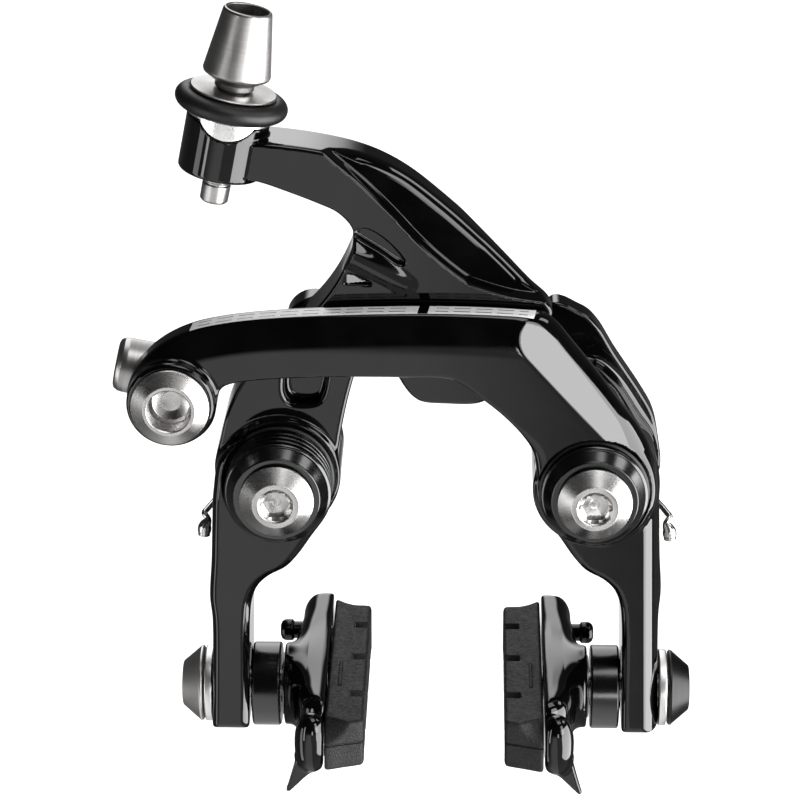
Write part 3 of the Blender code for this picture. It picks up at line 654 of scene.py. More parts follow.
def front_arm(x, y, z):
    d = field_blade(x, z)
    front = blade_front(x, z)
    blade = smax(d, (front - y) * 0.93, 0.75 + 1.5 * ease(x, 15.0, 22.0) + 1.6 * ease(-z, -16.0, -8.0) * ease(x, 30.0, 36.0))
    blade = smax(blade, y + 20.0, 1.2)
    web = extrude(field_web(x, z), y, -21.0, -5.8, 0.8)
    cheek = extrude(field_cheek(x, z), y, -6.5, -0.8, 0.6)
    leg = chamfered(field_leg_right(x, z), y, -24.0, -6.0, 0.8, 1.2, 0.45)
    # Outside of the leg: a straight flat, then a side face that leans back
    flat = x - 41.04 + 0.0274 * z
    leg = smax(leg, (flat - 24.0 - y) * 0.70711, 0.3)
    leg = smax(leg, (flat - 1.7) * 0.92 - (y + 22.4) * 0.39, 0.3)
    radius = np.sqrt((x - PIVOT_X) ** 2 + z ** 2)
    boss = cylinder_y(x, y, z, PIVOT_X, 0, 12.0, -25.9, -1.1, 0.6)
    anchor = cylinder_y(x, y, z, ANCHOR[0], ANCHOR[1], 8.6, -30.0, -19.7, 0.9)
    solid = smin(blade, web, 1.2)
    solid = smin(solid, cheek, 1.5)
    solid = smin(solid, leg, 1.2)
    solid = smin(solid, boss, 0.8)
    solid = smin(solid, anchor, 1.3)
    collar = smax(radius - 11.2, y - RIGHT_BOSS_Y, 0.3)
    solid = smax(solid, -collar, 0.35)
    bore = smin(smax(radius - 8.75, y + 6.2, 0.2), smax(radius - 9.4, -(y + 5.2), 0.2), 0.1)
    solid = smax(solid, -smin(bore, radius - 6.6, 0.1), 0.3)
    notch = smax(smax(np.abs(x - 40.0) - 7.5, np.abs(y + 2.0) - 3.0, 0.2), np.abs(z + 9.8) - 2.4, 0.2)
    solid = smax(solid, -notch, 0.3)
    hole = np.sqrt((x - ANCHOR[0]) ** 2 + (z - ANCHOR[1]) ** 2) - 5.3
    solid = smax(solid, -hole, 0.4)
    pin = smax(np.sqrt((x - LINK[0]) ** 2 + (z - LINK[1]) ** 2) - 2.4, -(y + 24.6), 0.2)
    solid = smax(solid, -pin, 0.3)
    up = np.clip(z, PAD_BOLT[1] - 1.5, PAD_BOLT[1] + 4.5)
    pad_slot = smax(np.sqrt((y - PAD_BOLT[0]) ** 2 + (z - up) ** 2) - 3.35, 30.0 - x, 0.2)
    return smax(solid, -pad_slot, 0.3)


arm = carve("front_arm_forging", front_arm, (-62.0, -31.5, -56.5), (47.5, 0.8, 38.6), CELL, keep=0.42)
finish_piece(arm, LACQUER, "front_arm_body", ["front_arm"])
arm = carve("rear_arm_forging", rear_arm, (-53.5, -25.6, -56.5), (24.5, 0.8, 75.5), CELL, keep=0.42)
finish_piece(arm, LACQUER, "rear_arm_body", ["rear_arm"])


# Printed band along the front arm's top edge: two plain blocks with slanted bars, lying just off the lacquer
def printed(name, x0, x1, bars):
    rows = []
    steps = int((x1 - x0) / 0.35) + 1
    faces = []
    lines = [-25.35, -25.0, -21.9, -21.55]
    top = np.array([p[:2] for p in smooth_outline(BLADE, 24)])
    top = top[: 24 * 15]
    order = np.argsort(top[:, 0])
    xs, zs = top[order, 0], top[order, 1]
    grid = []
    for i in range(steps + 1):
        u = x0 + (x1 - x0) * i / steps
        grid.append([(u + 0.10 * (y + 23.5), y, np.interp(u + 0.10 * (y + 23.5), xs, zs)) for y in np.linspace(-25.4, -21.5, 14)])
    p = np.array(grid, np.float32).reshape(-1, 3)
    q, normal = settle(front_arm, p, 3)
    q = q + normal * 0.03
    w = 14
    for i in range(steps):
        for j in range(w - 1):
            a = i * w + j
            faces.append((a, a + 1, a + w + 1, a + w))
    keep = []
    for f in faces:
        i, j = divmod(f[0], w)
        u = (i * 0.35) % 4.2
        # Two thin broken lines are left open in an otherwise plain band
        keep.append(not (bars and j in (3, 9) and 0.5 < u < 3.7 and 3 < i < steps - 4))
    faces = [f for f, k in zip(faces, keep) if k]
    mesh = bpy.data.meshes.new(name)
    mesh.from_pydata((q * MM).tolist(), [], faces)
    mesh.update()
    bm = bmesh.new()
    bm.from_mesh(mesh)
    bmesh.ops.delete(bm, geom=[v for v in bm.verts if not v.link_faces], context="VERTS")
    bmesh.ops.recalc_face_normals(bm, faces=bm.faces)
    up = sum(f.normal.z for f in bm.faces)
    if up < 0:
        bmesh.ops.reverse_faces(bm, faces=bm.faces)
    bm.to_mesh(mesh)
    bm.free()
    mesh.shade_smooth()
    obj = bpy.data.objects.new(name, mesh)
    scene.collection.objects.link(obj)
    return finish_piece(obj, PRINT, "front_arm_body")


printed("front_arm_band_long", -47.6, -3.6, True)
printed("front_arm_band_short", -1.6, 19.0, True)


# ------------------------------------------------------------------ turned parts
def polished(obj, angle=28):
    obj.data.shade_smooth()
    obj.data.set_sharp_from_angle(angle=math.radians(angle))
    mod = obj.modifiers.new("weighted", "WEIGHTED_NORMAL")
    mod.keep_sharp = True
    mod.weight = 80
    return obj


def eased(profile, r=0.12, steps=3, ring=False):
    """The (radius, distance) profile with each corner eased by r, and extra points beside it to hold the flats."""
    out = []
    n = len(profile)
    for i, p in enumerate(profile):
        if not ring and i in (0, n - 1):
            out.append(tuple(p))
            continue
        a, b, c = (np.array(profile[k][:2], float) for k in ((i - 1) % n, i, (i + 1) % n))
        la, lc = np.linalg.norm(a - b), np.linalg.norm(c - b)
        u, v = (a - b) / max(la, 1e-9), (c - b) / max(lc, 1e-9)
        cos = float(u @ v)
        if cos < -0.995 or (b[0] <= 1e-6):
            out.append(tuple(p))
            continue
        cut = min(r, 0.35 * la, 0.35 * lc)
        p0, p1 = b + u * cut, b + v * cut
        for s in range(steps + 1):
            t = s / steps
            q = (1 - t) ** 2 * p0 + 2 * t * (1 - t) * b + t * t * p1
            out.append((q[0], q[1]))
    return out


def lathe(name, profile, point, axis, body, mat, stands_for=(), ring=False, segments=112, ease_by=0.12, phase=0.0, hexes=(), shape=None):
    """Turned piece. Its own Z is the axis, so that tool marks and highlights run round it. hexes: not used."""
    prof = eased(profile, ease_by, ring=ring) if ease_by else [tuple(p) for p in profile]
    bm = bmesh.new()
    rows = []
    for r, t in prof:
        if r < 1e-6:
            rows.append([bm.verts.new((0, 0, t))])
            continue
        row = []
        for k in range(segments):
            a = 2 * math.pi * k / segments + phase
            rr = shape(r, t, a) if shape else r
            row.append(bm.verts.new((rr * math.cos(a), rr * math.sin(a), t)))
        rows.append(row)
    pairs = list(zip(rows, rows[1:]))
    if ring:
        pairs.append((rows[-1], rows[0]))
    for a, b in pairs:
        for k in range(segments):
            m = (k + 1) % segments
            if len(a) == 1 and len(b) == 1:
                continue
            if len(a) == 1:
                bm.faces.new((a[0], b[m], b[k]))
            elif len(b) == 1:
                bm.faces.new((a[k], a[m], b[0]))
            else:
                bm.faces.new((a[k], a[m], b[m], b[k]))
    bmesh.ops.recalc_face_normals(bm, faces=bm.faces)
    bmesh.ops.scale(bm, vec=(MM, MM, MM), verts=bm.verts)
    mesh = bpy.data.meshes.new(name)
    bm.to_mesh(mesh)
    bm.free()
    obj = bpy.data.objects.new(name, mesh)
    scene.collection.objects.link(obj)
    obj.rotation_mode = "QUATERNION"
    obj.rotation_quaternion = Vector((0, 0, 1)).rotation_difference(Vector(axis))
    obj.location = Vector(point) * MM
    polished(obj)
    return finish_piece(obj, mat, body, stands_for)


def hexed(corner, below_r, reach=1000.0):
    """Radius changed from round to hexagonal for every ring inside below_r, as far along the axis as reach."""
    def shape(r, t, a):
        if r > below_r or t > reach:
            return r
        flat = corner * math.cos(math.pi / 6) / math.cos((a % (math.pi / 3)) - math.pi / 6)
        return r * flat / corner
    return shape


Y_AXIS = (0, 1, 0)
for side, word, boss_front in ((-1, "left", LEFT_BOSS_Y), (1, "right", RIGHT_BOSS_Y)):
    centre = (side * PIVOT_X, 0, 0)
    head = [(0.0, HEAD_Y + 3.0), (1.2, HEAD_Y + 2.75), (2.86, HEAD_Y + 2.6), (2.88, HEAD_Y + 0.75), (3.32, HEAD_Y + 0.22), (3.55, HEAD_Y + 0.02), (4.55, HEAD_Y), (7.3, HEAD_Y + 2.35),
            (7.32, HEAD_Y + 3.0), (3.0, HEAD_Y + 3.0), (3.0, 8.6), (2.4, 9.4), (0.0, 9.4)]
    lathe(f"mount_bolt_{word}_turned", head, centre, Y_AXIS, "mount", STEEL, [f"mount_bolt_{word}"], shape=hexed(2.88, 2.95, HEAD_Y + 6.0), ease_by=0.10, segments=132)
    lathe(f"pivot_bush_{word}_turned", [(3.35, HEAD_Y + 3.4), (5.0, HEAD_Y + 3.4), (5.0, -1.0), (7.8, -1.0), (7.8, 0.0), (3.35, 0.0)], centre, Y_AXIS, "mount", HARD,
          [f"pivot_bush_{word}"], ring=True)
    front = HEAD_Y + 3.4
    end = boss_front - 1.3
    cap = [(5.35, front), (8.35, front), (8.5, front + 0.12), (8.55, front + 0.3), (9.95, front + 2.3), (9.97, front + 2.6), (10.2, front + 2.75), (10.5, front + 3.0),
           (10.5, front + 3.9)]
    groove = front + 4.4
    while groove + 1.3 < end:
        cap += [(10.5, groove), (10.28, groove + 0.12), (10.28, groove + 0.42), (10.5, groove + 0.54)]
        groove += 1.9
    cap += [(10.5, end), (5.35, end)]
    lathe(f"bearing_cap_{word}_turned", cap, centre, Y_AXIS, "mount", ANODISED, [f"bearing_cap_{word}"], ring=True, ease_by=0.10)
    lathe(f"dust_seal_{word}_lip", [(5.6, boss_front - 1.0), (10.5, boss_front - 1.0), (10.9, boss_front - 0.7), (10.8, boss_front - 0.35), (5.6, boss_front - 0.35)], centre, Y_AXIS,
          "mount", RUBBER, [f"dust_seal_{word}"], ring=True)
    arm_body = "rear_arm_body" if side < 0 else "front_arm_body"
    for place, start in (("front", boss_front + 0.4), ("rear", -10.6)):
        lathe(f"{place}_bearing_{word}_race", [(5.35, start), (6.2, start), (6.3, start + 0.25), (7.3, start + 0.25), (7.4, start), (8.4, start), (8.4, start + 4.0), (5.35, start + 4.0)],
              centre, Y_AXIS, arm_body, HARD, [f"{place}_bearing_{word}"], ring=True, ease_by=0.08, segments=72)

lathe("link_pin_turned", [(0, -24.3), (2.0, -24.3), (2.0, -7.4), (1.5, -6.9), (0, -6.9)], (LINK[0], 0, LINK[1]), Y_AXIS, "front_arm_body", HARD, ["link_pin"], segments=48)
lathe("link_roller_turned", [(2.3, -19.0), (3.2, -19.0), (3.2, -8.0), (2.3, -8.0)], (LINK[0], 0, LINK[1]), Y_AXIS, "front_arm_body", BRONZE, ["link_roller"], ring=True, segments=56)
lathe("centring_screw_turned", [(0, -2.9), (1.1, -2.9), (1.15, -1.2), (1.35, -0.9), (1.9, -0.9), (1.9, -10.6), (0, -10.6)], (-24.6, 0, 27.4), Y_AXIS, "rear_arm_body", STEEL,
      ["centring_screw"], segments=60, shape=hexed(1.15, 1.2), ease_by=0.05)

# ------------------------------------------------------------------ cable adjuster
stem = [(1.1, 0.0), (2.35, 0.0), (2.75, 0.4), (2.8, 3.6), (2.55, 3.8), (2.55, 4.1), (2.9, 4.3), (2.95, 5.0), (2.65, 5.2), (2.65, 5.6), (3.0, 5.8),
        (3.0, 23.1), (3.85, 23.4), (3.85, 24.4), (6.45, 26.0), (6.62, 26.45), (4.78, 38.55), (4.62, 38.9), (4.3, 39.0), (4.02, 38.8), (3.9, 31.0), (1.1, 31.0)]
lathe("adjuster_barrel_turned", stem, STEM_END, ALONG_CABLE, "adjuster_stem", STEEL_SOFT, ["adjuster_barrel"], ring=True, ease_by=0.08)
lathe("adjuster_nut_turned", [(3.35, 18.3), (6.1, 18.3), (6.1, 22.2), (8.3, 22.5), (8.55, 22.68), (8.3, 22.95), (3.35, 22.95)], STEM_END, ALONG_CABLE, "adjuster_dial", STEEL_SOFT,
      ["adjuster_nut"], ring=True, ease_by=0.06)
grip = []
for i in range(40):
    a = 2 * math.pi * i / 40
    grip.append((max(8.75 + 2.25 * math.cos(a), 6.45), 20.35 + 1.9 * math.sin(a)))
lathe("adjuster_grip_ring_moulded", grip, STEM_END, ALONG_CABLE, "adjuster_dial", RUBBER, ["adjuster_grip_ring"], ring=True, ease_by=0)


def index_ring():
    """Thin steel washer under the dial, with the round lobe that drops into the boss's notch."""
    bm = bmesh.new()
    lathe_z0, lathe_z1 = 17.72, 18.1
    rows = {}
    for level, t in enumerate((lathe_z0, lathe_z1)):
        for which, r in (("in", 5.2), ("out", 8.35)):
            rows[(which, level)] = [bm.verts.new((r * math.cos(2 * math.pi * k / 96), r * math.sin(2 * math.pi * k / 96), t)) for k in range(96)]
    for k in range(96):
        m = (k + 1) % 96
        bm.faces.new((rows[("in", 1)][k], rows[("out", 1)][k], rows[("out", 1)][m], rows[("in", 1)][m]))
        bm.faces.new((rows[("in", 0)][m], rows[("out", 0)][m], rows[("out", 0)][k], rows[("in", 0)][k]))
        bm.faces.new((rows[("out", 0)][k], rows[("out", 0)][m], rows[("out", 1)][m], rows[("out", 1)][k]))
        bm.faces.new((rows[("in", 0)][m], rows[("in", 0)][k], rows[("in", 1)][k], rows[("in", 1)][m]))
    # The lobe is a curved tongue that hangs in front, with a round lower edge, and fills the notch in the boss
    def tongue(radius):
        rows = []
        for i in range(33):
            u = 5.35 * math.sin(math.pi * (i / 32 - 0.5))
            phi = math.asin(u / radius)
            foot = 21.2 - math.sqrt(max(6.35 ** 2 - u ** 2, 0.0))
            rows.append([bm.verts.new((u, -radius * math.cos(phi), foot + (18.05 - foot) * k / 4)) for k in range(5)])
        return rows

    outer, inner_rows = tongue(8.22), tongue(7.2)
    for i in range(32):
        for k in range(4):
            bm.faces.new((outer[i][k], outer[i + 1][k], outer[i + 1][k + 1], outer[i][k + 1]))
            bm.faces.new((inner_rows[i][k + 1], inner_rows[i + 1][k + 1], inner_rows[i + 1][k], inner_rows[i][k]))
        bm.faces.new((outer[i + 1][0], outer[i][0], inner_rows[i][0], inner_rows[i + 1][0]))
        bm.faces.new((outer[i][4], outer[i + 1][4], inner_rows[i + 1][4], inner_rows[i][4]))
    for i, flip in ((0, False), (32, True)):
        for k in range(4):
            quad = (outer[i][k], outer[i][k + 1], inner_rows[i][k + 1], inner_rows[i][k])
            bm.faces.new(tuple(reversed(quad)) if flip else quad)
    bmesh.ops.recalc_face_normals(bm, faces=bm.faces)
    bmesh.ops.scale(bm, vec=(MM, MM, MM), verts=bm.verts)
    mesh = bpy.data.meshes.new("adjuster_index_ring_stamped")
    bm.to_mesh(mesh)
    bm.free()
    obj = bpy.data.objects.new(mesh.name, mesh)
    scene.collection.objects.link(obj)
    obj.rotation_mode = "QUATERNION"
    obj.rotation_quaternion = Vector((0, 0, 1)).rotation_difference(Vector(ALONG_CABLE))
    obj.location = Vector(STEM_END) * MM
    polished(obj)
    finish_piece(obj, STAMPED, "rear_arm_body", ["adjuster_index_ring"])


index_ring()

# ------------------------------------------------------------------ cable anchor
lathe("cable_anchor_barrel_turned", [(0, -27.2), (2.0, -27.35), (3.7, -27.9), (4.15, -28.6), (4.2, -32.7), (4.45, -33.0), (5.05, -33.0), (7.62, -31.05), (7.7, -30.75), (7.6, -30.4), (4.9, -30.4), (4.9, -19.2), (4.6, -18.8), (4.6, -6.4),
      (4.0, -5.6), (0, -5.6)], (ANCHOR[0], 0, ANCHOR[1]), Y_AXIS, "anchor_swivel", STEEL, ["cable_anchor_barrel"], ease_by=0.07)
screw_centre = (ANCHOR[0], CABLE_Y, ANCHOR[1])
lathe("cable_clamp_screw_turned", [(0, 0.8), (2.5, 0.8), (2.5, 5.3), (5.2, 5.3), (5.5, 5.6), (5.5, 10.2), (5.35, 11.2), (4.9, 12.0), (4.2, 12.3), (2.75, 12.3), (2.35, 11.9), (2.3, 8.8), (0, 8.5)],
      screw_centre, ALONG_SCREW, "clamp_screw", STEEL_SOFT, ["cable_clamp_screw"], shape=hexed(2.3, 2.34), ease_by=0.10, segments=96)
lathe("cable_clamp_shoe_turned", [(0, -0.5), (2.2, -0.5), (2.4, -0.3), (2.4, 0.2), (2.2, 0.4), (0, 0.4)], screw_centre, ALONG_SCREW, "anchor_swivel", HARD, ["cable_clamp_shoe"], segments=48)


# ------------------------------------------------------------------ return springs
def tube(name, path, radius, mat, body, stands_for, bulb=None):
    """Round wire along a smooth curve through the path, in millimetres; bulb gives radii along it."""
    pts = [np.array(p, float) for p in path]
    fine, size = [], []
    n = len(pts)
    for i in range(n - 1):
        p = [pts[max(i - 1, 0)], pts[i], pts[i + 1], pts[min(i + 2, n - 1)]]
        for s in range(6):
            t = s / 6
            fine.append(0.5 * (2 * p[1] + (p[2] - p[0]) * t + (2 * p[0] - 5 * p[1] + 4 * p[2] - p[3]) * t * t + (3 * p[1] - p[0] - 3 * p[2] + p[3]) * t ** 3))
            size.append((i + t) / (n - 1))
    fine.append(pts[-1])
    size.append(1.0)
    fine = np.array(fine)
    tangent = np.gradient(fine, axis=0)
    tangent /= np.linalg.norm(tangent, axis=1, keepdims=True)
    normal = np.cross(tangent[0], (0.3, 0.5, 0.81))
    bm = bmesh.new()
    rows = []
    for q, t, w in zip(fine, tangent, size):
        normal = normal - t * (normal @ t)
        normal /= np.linalg.norm(normal)
        side = np.cross(t, normal)
        r = radius * (bulb(w) if bulb else 1.0)
        rows.append([bm.verts.new(tuple((q + r * (math.cos(a) * normal + math.sin(a) * side)) * MM)) for a in (2 * math.pi * k / 16 for k in range(16))])
    for a, b in zip(rows, rows[1:]):
        for k in range(16):
            bm.faces.new((a[k], a[(k + 1) % 16], b[(k + 1) % 16], b[k]))
    for row, q, t, sign in ((rows[0], fine[0], tangent[0], -1), (rows[-1], fine[-1], tangent[-1], 1)):
        tip = bm.verts.new(tuple((q + sign * t * radius * 0.5) * MM))
        for k in range(16):
            bm.faces.new((row[k], row[(k + 1) % 16], tip) if sign > 0 else (row[(k + 1) % 16], row[k], tip))
    bmesh.ops.recalc_face_normals(bm, faces=bm.faces)
    mesh = bpy.data.meshes.new(name)
    bm.to_mesh(mesh)
    bm.free()
    mesh.shade_smooth()
    obj = bpy.data.objects.new(name, mesh)
    scene.collection.objects.link(obj)
    return finish_piece(obj, mat, body, stands_for)


for side, word in ((-1, "left"), (1, "right")):
    coil = []
    turns, radius, rise, steps = 1.7, 7.2, 1.45, 40
    for i in range(steps + 1):
        done = turns * (1 - i / steps)
        a = math.radians(-105) - 2 * math.pi * done
        coil.append((side * PIVOT_X + side * radius * math.cos(a), -2.0 - rise * done, radius * math.sin(a)))
    tail = [(side * 38.0, -2.2, -9.3), (side * 43.0, -3.0, -10.5), (side * 45.2, -4.6, -12.0), (side * 46.6, -7.2, -12.8), (side * 47.2, -8.6, -13.2),
            (side * 46.5, -9.3, -14.2), (side * 47.1, -9.4, -15.8), (side * 47.3, -9.4, -17.7)]
    tube(f"return_spring_{word}_wire", coil + tail, 0.62, WIRE, "mount", [f"return_spring_{word}"], bulb=lambda w: 1.0 + 1.25 * max(0.0, min(1.0, (w - 0.955) / 0.025)) * (1.0 if w < 0.993 else 0.8))

# ------------------------------------------------------------------ brake shoes
TUBE = [
    (20.6, 15.1), (21.6, 15.8), (24.8, 15.8), (26.9, 14.9), (27.9, 12.4), (28.2, 6.0), (28.8, 0.0), (29.3, -8.0), (29.0, -20.0), (27.9, -27.0), (27.2, -32.0), (26.0, -35.6),
    (23.5, -37.0), (21.6, -37.0), (20.6, -36.2), (20.5, -20.0), (20.5, 0.0),
]
field_tube = Field(smooth_outline(TUBE), step=0.25, margin=6)
PAD = [
    (14.0, 12.2), (14.3, 12.8), (15.4, 13.0), (17.4, 13.15), (19.4, 14.2), (21.2, 15.75), (21.7, 15.7, 1), (21.7, -42.8, 1), (21.2, -42.9), (18.0, -41.8), (15.0, -40.8), (14.3, -40.5),
    (14.0, -39.8), (14.0, -36.0), (14.0, 8.0),
]
field_pad = Field(smooth_outline(PAD), step=0.25, margin=4, blur=0.12)


def holder(x, y, z):
    """Shoe holder of the right side: a rounded channel back, flared round the bolt, with a thumb-like front end and a guide fin."""
    plan = field_tube(x, y)
    body = extrude(plan, z, -55.0, -41.25, 3.3)
    thumb = (((x - 24.3) ** 2 * 0.92 + (y + 40.3) ** 2) / 10.4) ** 1.2 + np.abs((z + 48.65) / 6.3) ** 2.4
    thumb = (np.maximum(thumb, 1e-6) ** (1 / 2.4) - 1) * 3.2
    body = smin(body, thumb, 0.7)
    radius = np.sqrt((y - PAD_BOLT[0]) ** 2 + (z - PAD_BOLT[1]) ** 2)
    # Flare: as long as half the shoe where it leaves the channel, round where it meets the spacer
    spread = np.clip((30.8 - x) / 4.8, 0, 1.6) ** 1.5
    ry, rz = 8.4 + 6.5 * spread, 8.4 - 1.6 * np.minimum(spread, 1.0)
    flare = (np.sqrt(((y - PAD_BOLT[0]) / ry) ** 2 + ((z - PAD_BOLT[1]) / rz) ** 2) - 1) * rz
    flare = smax(flare, x - 30.8, 0.7)
    body = smin(body, flare, 2.4)
    body = smax(body, 21.95 - x, 0.5)
    fin_t = np.clip((-53.0 - z) / 6.6, 0, 1)
    fin_x = 25.0 + 4.0 * fin_t
    half = 2.1 * (1 - fin_t) ** 1.1 + 0.5
    fin = smax(np.abs(x - fin_x) - half, np.abs(y + 39.4) - 1.7 + 0.8 * fin_t, 0.5)
    fin = smax(smax(fin, -59.85 - z, 0.5), z + 51.0, 0.6)
    body = smin(body, fin, 0.7)
    body = smax(body, -43.55 - y, 0.3)
    seat = smax(radius - 5.3, 28.6 - x, 0.3)
    seat = smin(seat, smax(radius - np.clip(5.3 + (x - 28.6) * 1.06, 5.3, 7.0), 28.6 - x, 0.2), 0.1)
    seat = smin(seat, smax(radius - 4.6, x - 28.0, 0.2), 0.1)
    seat = smin(seat, radius - 3.3, 0.1)
    body = smax(body, -seat, 0.3)
    screw = np.sqrt((y - 4.0) ** 2 + (z + 45.4) ** 2) - 1.45
    return smax(body, -screw, 0.3)


def pad(x, y, z):
    """Right-hand pad: moulded block with water grooves across the braking face, a scooped front end and a split line below it."""
    body = chamfered(field_pad(x, y), z, -53.7, -43.6, 0.35, 0.35, 0.35)
    # Scoop: the front end's upper corner is cut away, more and more towards the holder
    depth = 4.5 * ease(x, 12.6, 23.0)
    scoop = ((y + 43.0 - depth) * -4.5 + (z + 43.6) * depth) / np.sqrt(20.25 + depth ** 2)
    body = smax(body, scoop, 0.5)
    for at in (3.6, -11.4, -28.1):
        groove = smax(np.abs(y - at + 0.15 * (z + 48.0)) - 1.25, x - 17.2, 0.2)
        body = smax(body, -groove, 0.2)
    # Tapered rib along the top beside the holder
    rib = smax(np.abs(x - 19.3) - 0.28, np.abs(y + 19.8) - 5.5, 0.2)
    body = smin(body, smax(rib, z + 43.42, 0.15), 0.15)
    skin = -body - 0.30
    split = smax(np.abs(z + 48.4 - 0.02 * (x - 14)) - 0.19, y + 34.0, 0.1)
    return smax(body, -smax(split, skin, 0.1), 0.1)


X_AXIS = (1, 0, 0)
shapes = {
    "pad_holder": (holder, (20.9, -45.0, -61.2), (32.2, 17.6, -39.0), 0.27, LACQUER, "arm_paint", "pad_holder_body", "forged"),
    "brake_pad": (pad, (12.8, -44.4, -55.0), (23.0, 17.2, -42.2), 0.25, COMPOUND, "pad_compound", "pad_insert", "moulded"),
}
for node, (function, low, high, cell, mat, slot, body, word) in shapes.items():
    right = carve(f"{node}_right_{word}", function, low, high, cell, keep=0.5)
    co = np.empty(len(right.data.vertices) * 3, np.float32)
    right.data.vertices.foreach_get("co", co)
    p, normal = settle(function, co.reshape(-1, 3) / MM, 1)
    left = surface(f"{node}_left_{word}", right.data.copy(), p, normal, mirror=True)
    finish_piece(right, mat, f"{body}_right", [f"{node}_right"])
    finish_piece(left, mat, f"{body}_left", [f"{node}_left"])

for side, word in ((-1, "left"), (1, "right")):
    centre = (0, PAD_BOLT[0], PAD_BOLT[1])
    axis = (side, 0, 0)
    lathe(f"pad_bolt_{word}_turned", [(0, 25.6), (4.2, 25.6), (4.2, 27.6), (2.9, 27.8), (2.9, 50.3), (2.4, 50.8), (0, 50.8)], centre, axis, f"pad_holder_body_{word}", STEEL,
          [f"pad_bolt_{word}"], segments=64)
    lathe(f"pad_spacer_{word}_turned", [(3.95, 31.5), (8.2, 31.5), (8.55, 31.85), (8.55, 36.95), (8.2, 37.3), (3.95, 37.3)], centre, axis, f"pad_carrier_{word}", ANODISED,
          [f"pad_spacer_{word}"], ring=True, ease_by=0.1)
    lathe(f"convex_washer_{word}_turned", [(3.3, 28.9), (5.0, 28.9), (6.4, 30.2), (6.4, 31.15), (3.3, 31.15)], centre, axis, f"pad_toe_{word}", HARD, [f"convex_washer_{word}"],
          ring=True, segments=72)
    lathe(f"pad_washer_{word}_turned", [(3.95, 45.4), (7.6, 45.4), (7.8, 45.55), (7.8, 46.8), (7.6, 46.98), (3.95, 46.98)], centre, axis, f"pad_carrier_{word}", BRIGHT,
          [f"pad_washer_{word}"], ring=True, ease_by=0.1)
    lathe(f"pad_nut_{word}_turned", [(3.3, 47.35), (7.4, 47.35), (7.7, 47.6), (7.7, 48.0), (7.35, 48.35), (4.6, 51.55), (4.3, 51.7), (3.3, 51.7)], centre, axis, f"pad_toe_{word}", STEEL_DULL if side < 0 else DARK_NUT,
          [f"pad_nut_{word}"], ring=True, ease_by=0.08)
    lathe(f"pad_retaining_screw_{word}_turned", [(0, 22.6), (1.1, 22.6), (1.1, 28.0), (1.8, 28.1), (1.8, 29.9), (1.9, 30.0), (2.25, 30.3), (2.3, 31.2), (2.2, 31.9), (1.8, 32.5), (1.1, 32.8), (0.8, 32.7), (0.7, 32.0), (0, 32.0)],
          (0, 4.0, PAD_BOLT[1] + 3.0), axis, f"pad_holder_body_{word}", DARK_STEEL, [f"pad_retaining_screw_{word}"], segments=56)

# ------------------------------------------------------------------ studio: white floor and sweep, dark upper front, soft panels
world = bpy.data.worlds.new("studio")
scene.world = world
world.use_nodes = True
tree = world.node_tree
background = tree.nodes["Background"]
direction = add(tree, "ShaderNodeTexCoord").outputs["Generated"]
split = add(tree, "ShaderNodeSeparateXYZ")
tree.links.new(direction, split.inputs[0])


def step_up(value, a, b):
    node = add(tree, "ShaderNodeMapRange", interpolation_type="SMOOTHSTEP")
    node.inputs["From Min"].default_value = a
    node.inputs["From Max"].default_value = b
    tree.links.new(value, node.inputs["Value"])
    return node.outputs["Result"]


def times(a, b):
    node = add(tree, "ShaderNodeMath", operation="MULTIPLY")
    tree.links.new(a, node.inputs[0])
    tree.links.new(b, node.inputs[1])
    return node.outputs[0]


def blend(factor, a, b):
    """a where factor is 0, b where it is 1; each is a grey value or a socket."""
    node = add(tree, "ShaderNodeMix")
    sock = {i.identifier: i for i in node.inputs}
    tree.links.new(factor, sock["Factor_Float"])
    for key, value in (("A_Float", a), ("B_Float", b)):
        if isinstance(value, float):
            sock[key].default_value = value
        else:
            tree.links.new(value, sock[key])
    return next(o for o in node.outputs if o.identifier == "Result_Float")


def combine(*terms):
    """Sum of socket * weight."""
    total = None
    for socket, weight in terms:
        node = add(tree, "ShaderNodeMath", operation="MULTIPLY_ADD")
        tree.links.new(socket, node.inputs[0])
        node.inputs[1].default_value = weight
        node.inputs[2].default_value = 0.0
        if total is not None:
            tree.links.new(total, node.inputs[2])
        total = node.outputs[0]
    return total


X, Y, Z = split.outputs["X"], split.outputs["Y"], split.outputs["Z"]
# Sweep below: bright straight ahead and to the left of the lens, falling off to the right and towards the far left
front_below = blend(step_up(combine((X, 1.0), (Z, 0.25)), -0.115, -0.050), 1.14, 0.42)
front_below = blend(step_up(combine((X, -1.0)), 0.25, 0.75), front_below, 0.16)
sideways = add(tree, "ShaderNodeMath", operation="ABSOLUTE")
offset = add(tree, "ShaderNodeMath", operation="ADD")
tree.links.new(X, offset.inputs[0])
offset.inputs[1].default_value = 0.05
tree.links.new(offset.outputs[0], sideways.inputs[0])
wide = step_up(sideways.outputs[0], 0.07, 0.22)
below = blend(step_up(combine((Y, 1.0)), -0.25, 0.35), front_below, blend(wide, 0.85, 0.10))
# Above the horizon: a dark studio in front, a bright sweep behind
above_front = 0.016
above_back = blend(wide, blend(step_up(Z, 0.05, 0.30), 1.0, 2.6), 0.05)
above_sky = blend(step_up(combine((Y, 1.0)), -0.05, 0.30), above_front, above_back)
grey = blend(step_up(Z, -0.15, 0.03), below, above_sky)
tint = add(tree, "ShaderNodeCombineXYZ")
for k in range(3):
    tree.links.new(grey, tint.inputs[k])
tree.links.new(tint.outputs[0], background.inputs["Color"])
background.inputs["Strength"].default_value = 1.0


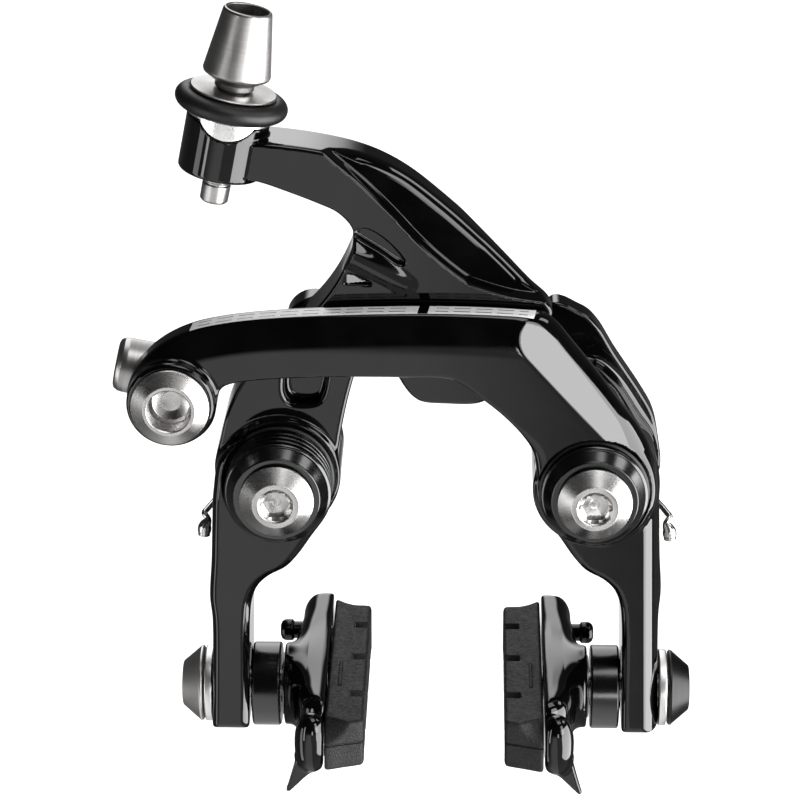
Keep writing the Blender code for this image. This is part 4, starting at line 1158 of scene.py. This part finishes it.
def panel(name, centre, aim, width, height, radiance):
    data = bpy.data.lights.new(name, "AREA")
    data.shape = "RECTANGLE"
    data.size, data.size_y = width, height
    data.energy = radiance * math.pi * width * height
    obj = bpy.data.objects.new(name, data)
    scene.collection.objects.link(obj)
    obj.location = centre
    obj.visible_camera = False
    obj.rotation_mode = "QUATERNION"
    obj.rotation_quaternion = (Vector(aim) - Vector(centre)).to_track_quat("-Z", "Y")
    return obj


panel("softbox_right", (0.60, -0.27, -0.12), (0, 0, 0), 0.90, 0.72, 9.0)
panel("softbox_above", (0.20, -0.30, 0.87), (0, 0, 0), 0.46, 0.50, 3.4)
panel("strip_left", (-0.765, -0.342, -0.30), (0, 0, 0), 0.24, 0.80, 2.8)
panel("softbox_high", (0.75, 0.12, 0.72), (0, 0, 0), 0.40, 0.30, 5.0)
panel("softbox_ridge", (0.46, -0.56, 0.36), (0, 0, 0.03), 0.22, 0.26, 6.0)
panel("softbox_facet", (0.45, -0.60, 0.115), (0.03, -0.03, 0.01), 0.28, 0.24, 4.2)
panel("softbox_rib", (0.12, -0.90, -0.03), (0, 0, 0.04), 0.13, 0.16, 7.0)
panel("strip_front_left", (-0.65, -0.63, -0.04), (0, 0, 0.03), 0.10, 0.55, 6.5)

floor_mesh = bpy.data.meshes.new("floor")
bm = bmesh.new()
bmesh.ops.create_circle(bm, cap_ends=True, radius=4.0, segments=96)
bm.to_mesh(floor_mesh)
bm.free()
floor = bpy.data.objects.new("floor", floor_mesh)
scene.collection.objects.link(floor)
floor.location = (0, 0, -0.42)
floor.visible_glossy = False
mat, tree_floor, s = nodes_of("pale_floor")
grain = noise(tree_floor, object_coords(tree_floor), 30.0, 3.0)
tree_floor.links.new(mix_color(tree_floor, grain, (0.80, 0.80, 0.80), (0.84, 0.84, 0.84)), s.inputs["Base Color"])
s.inputs["Roughness"].default_value = 0.9
s.inputs["Emission Color"].default_value = (1, 1, 1, 1)
s.inputs["Emission Strength"].default_value = 1.0
floor_mesh.materials.append(mat)
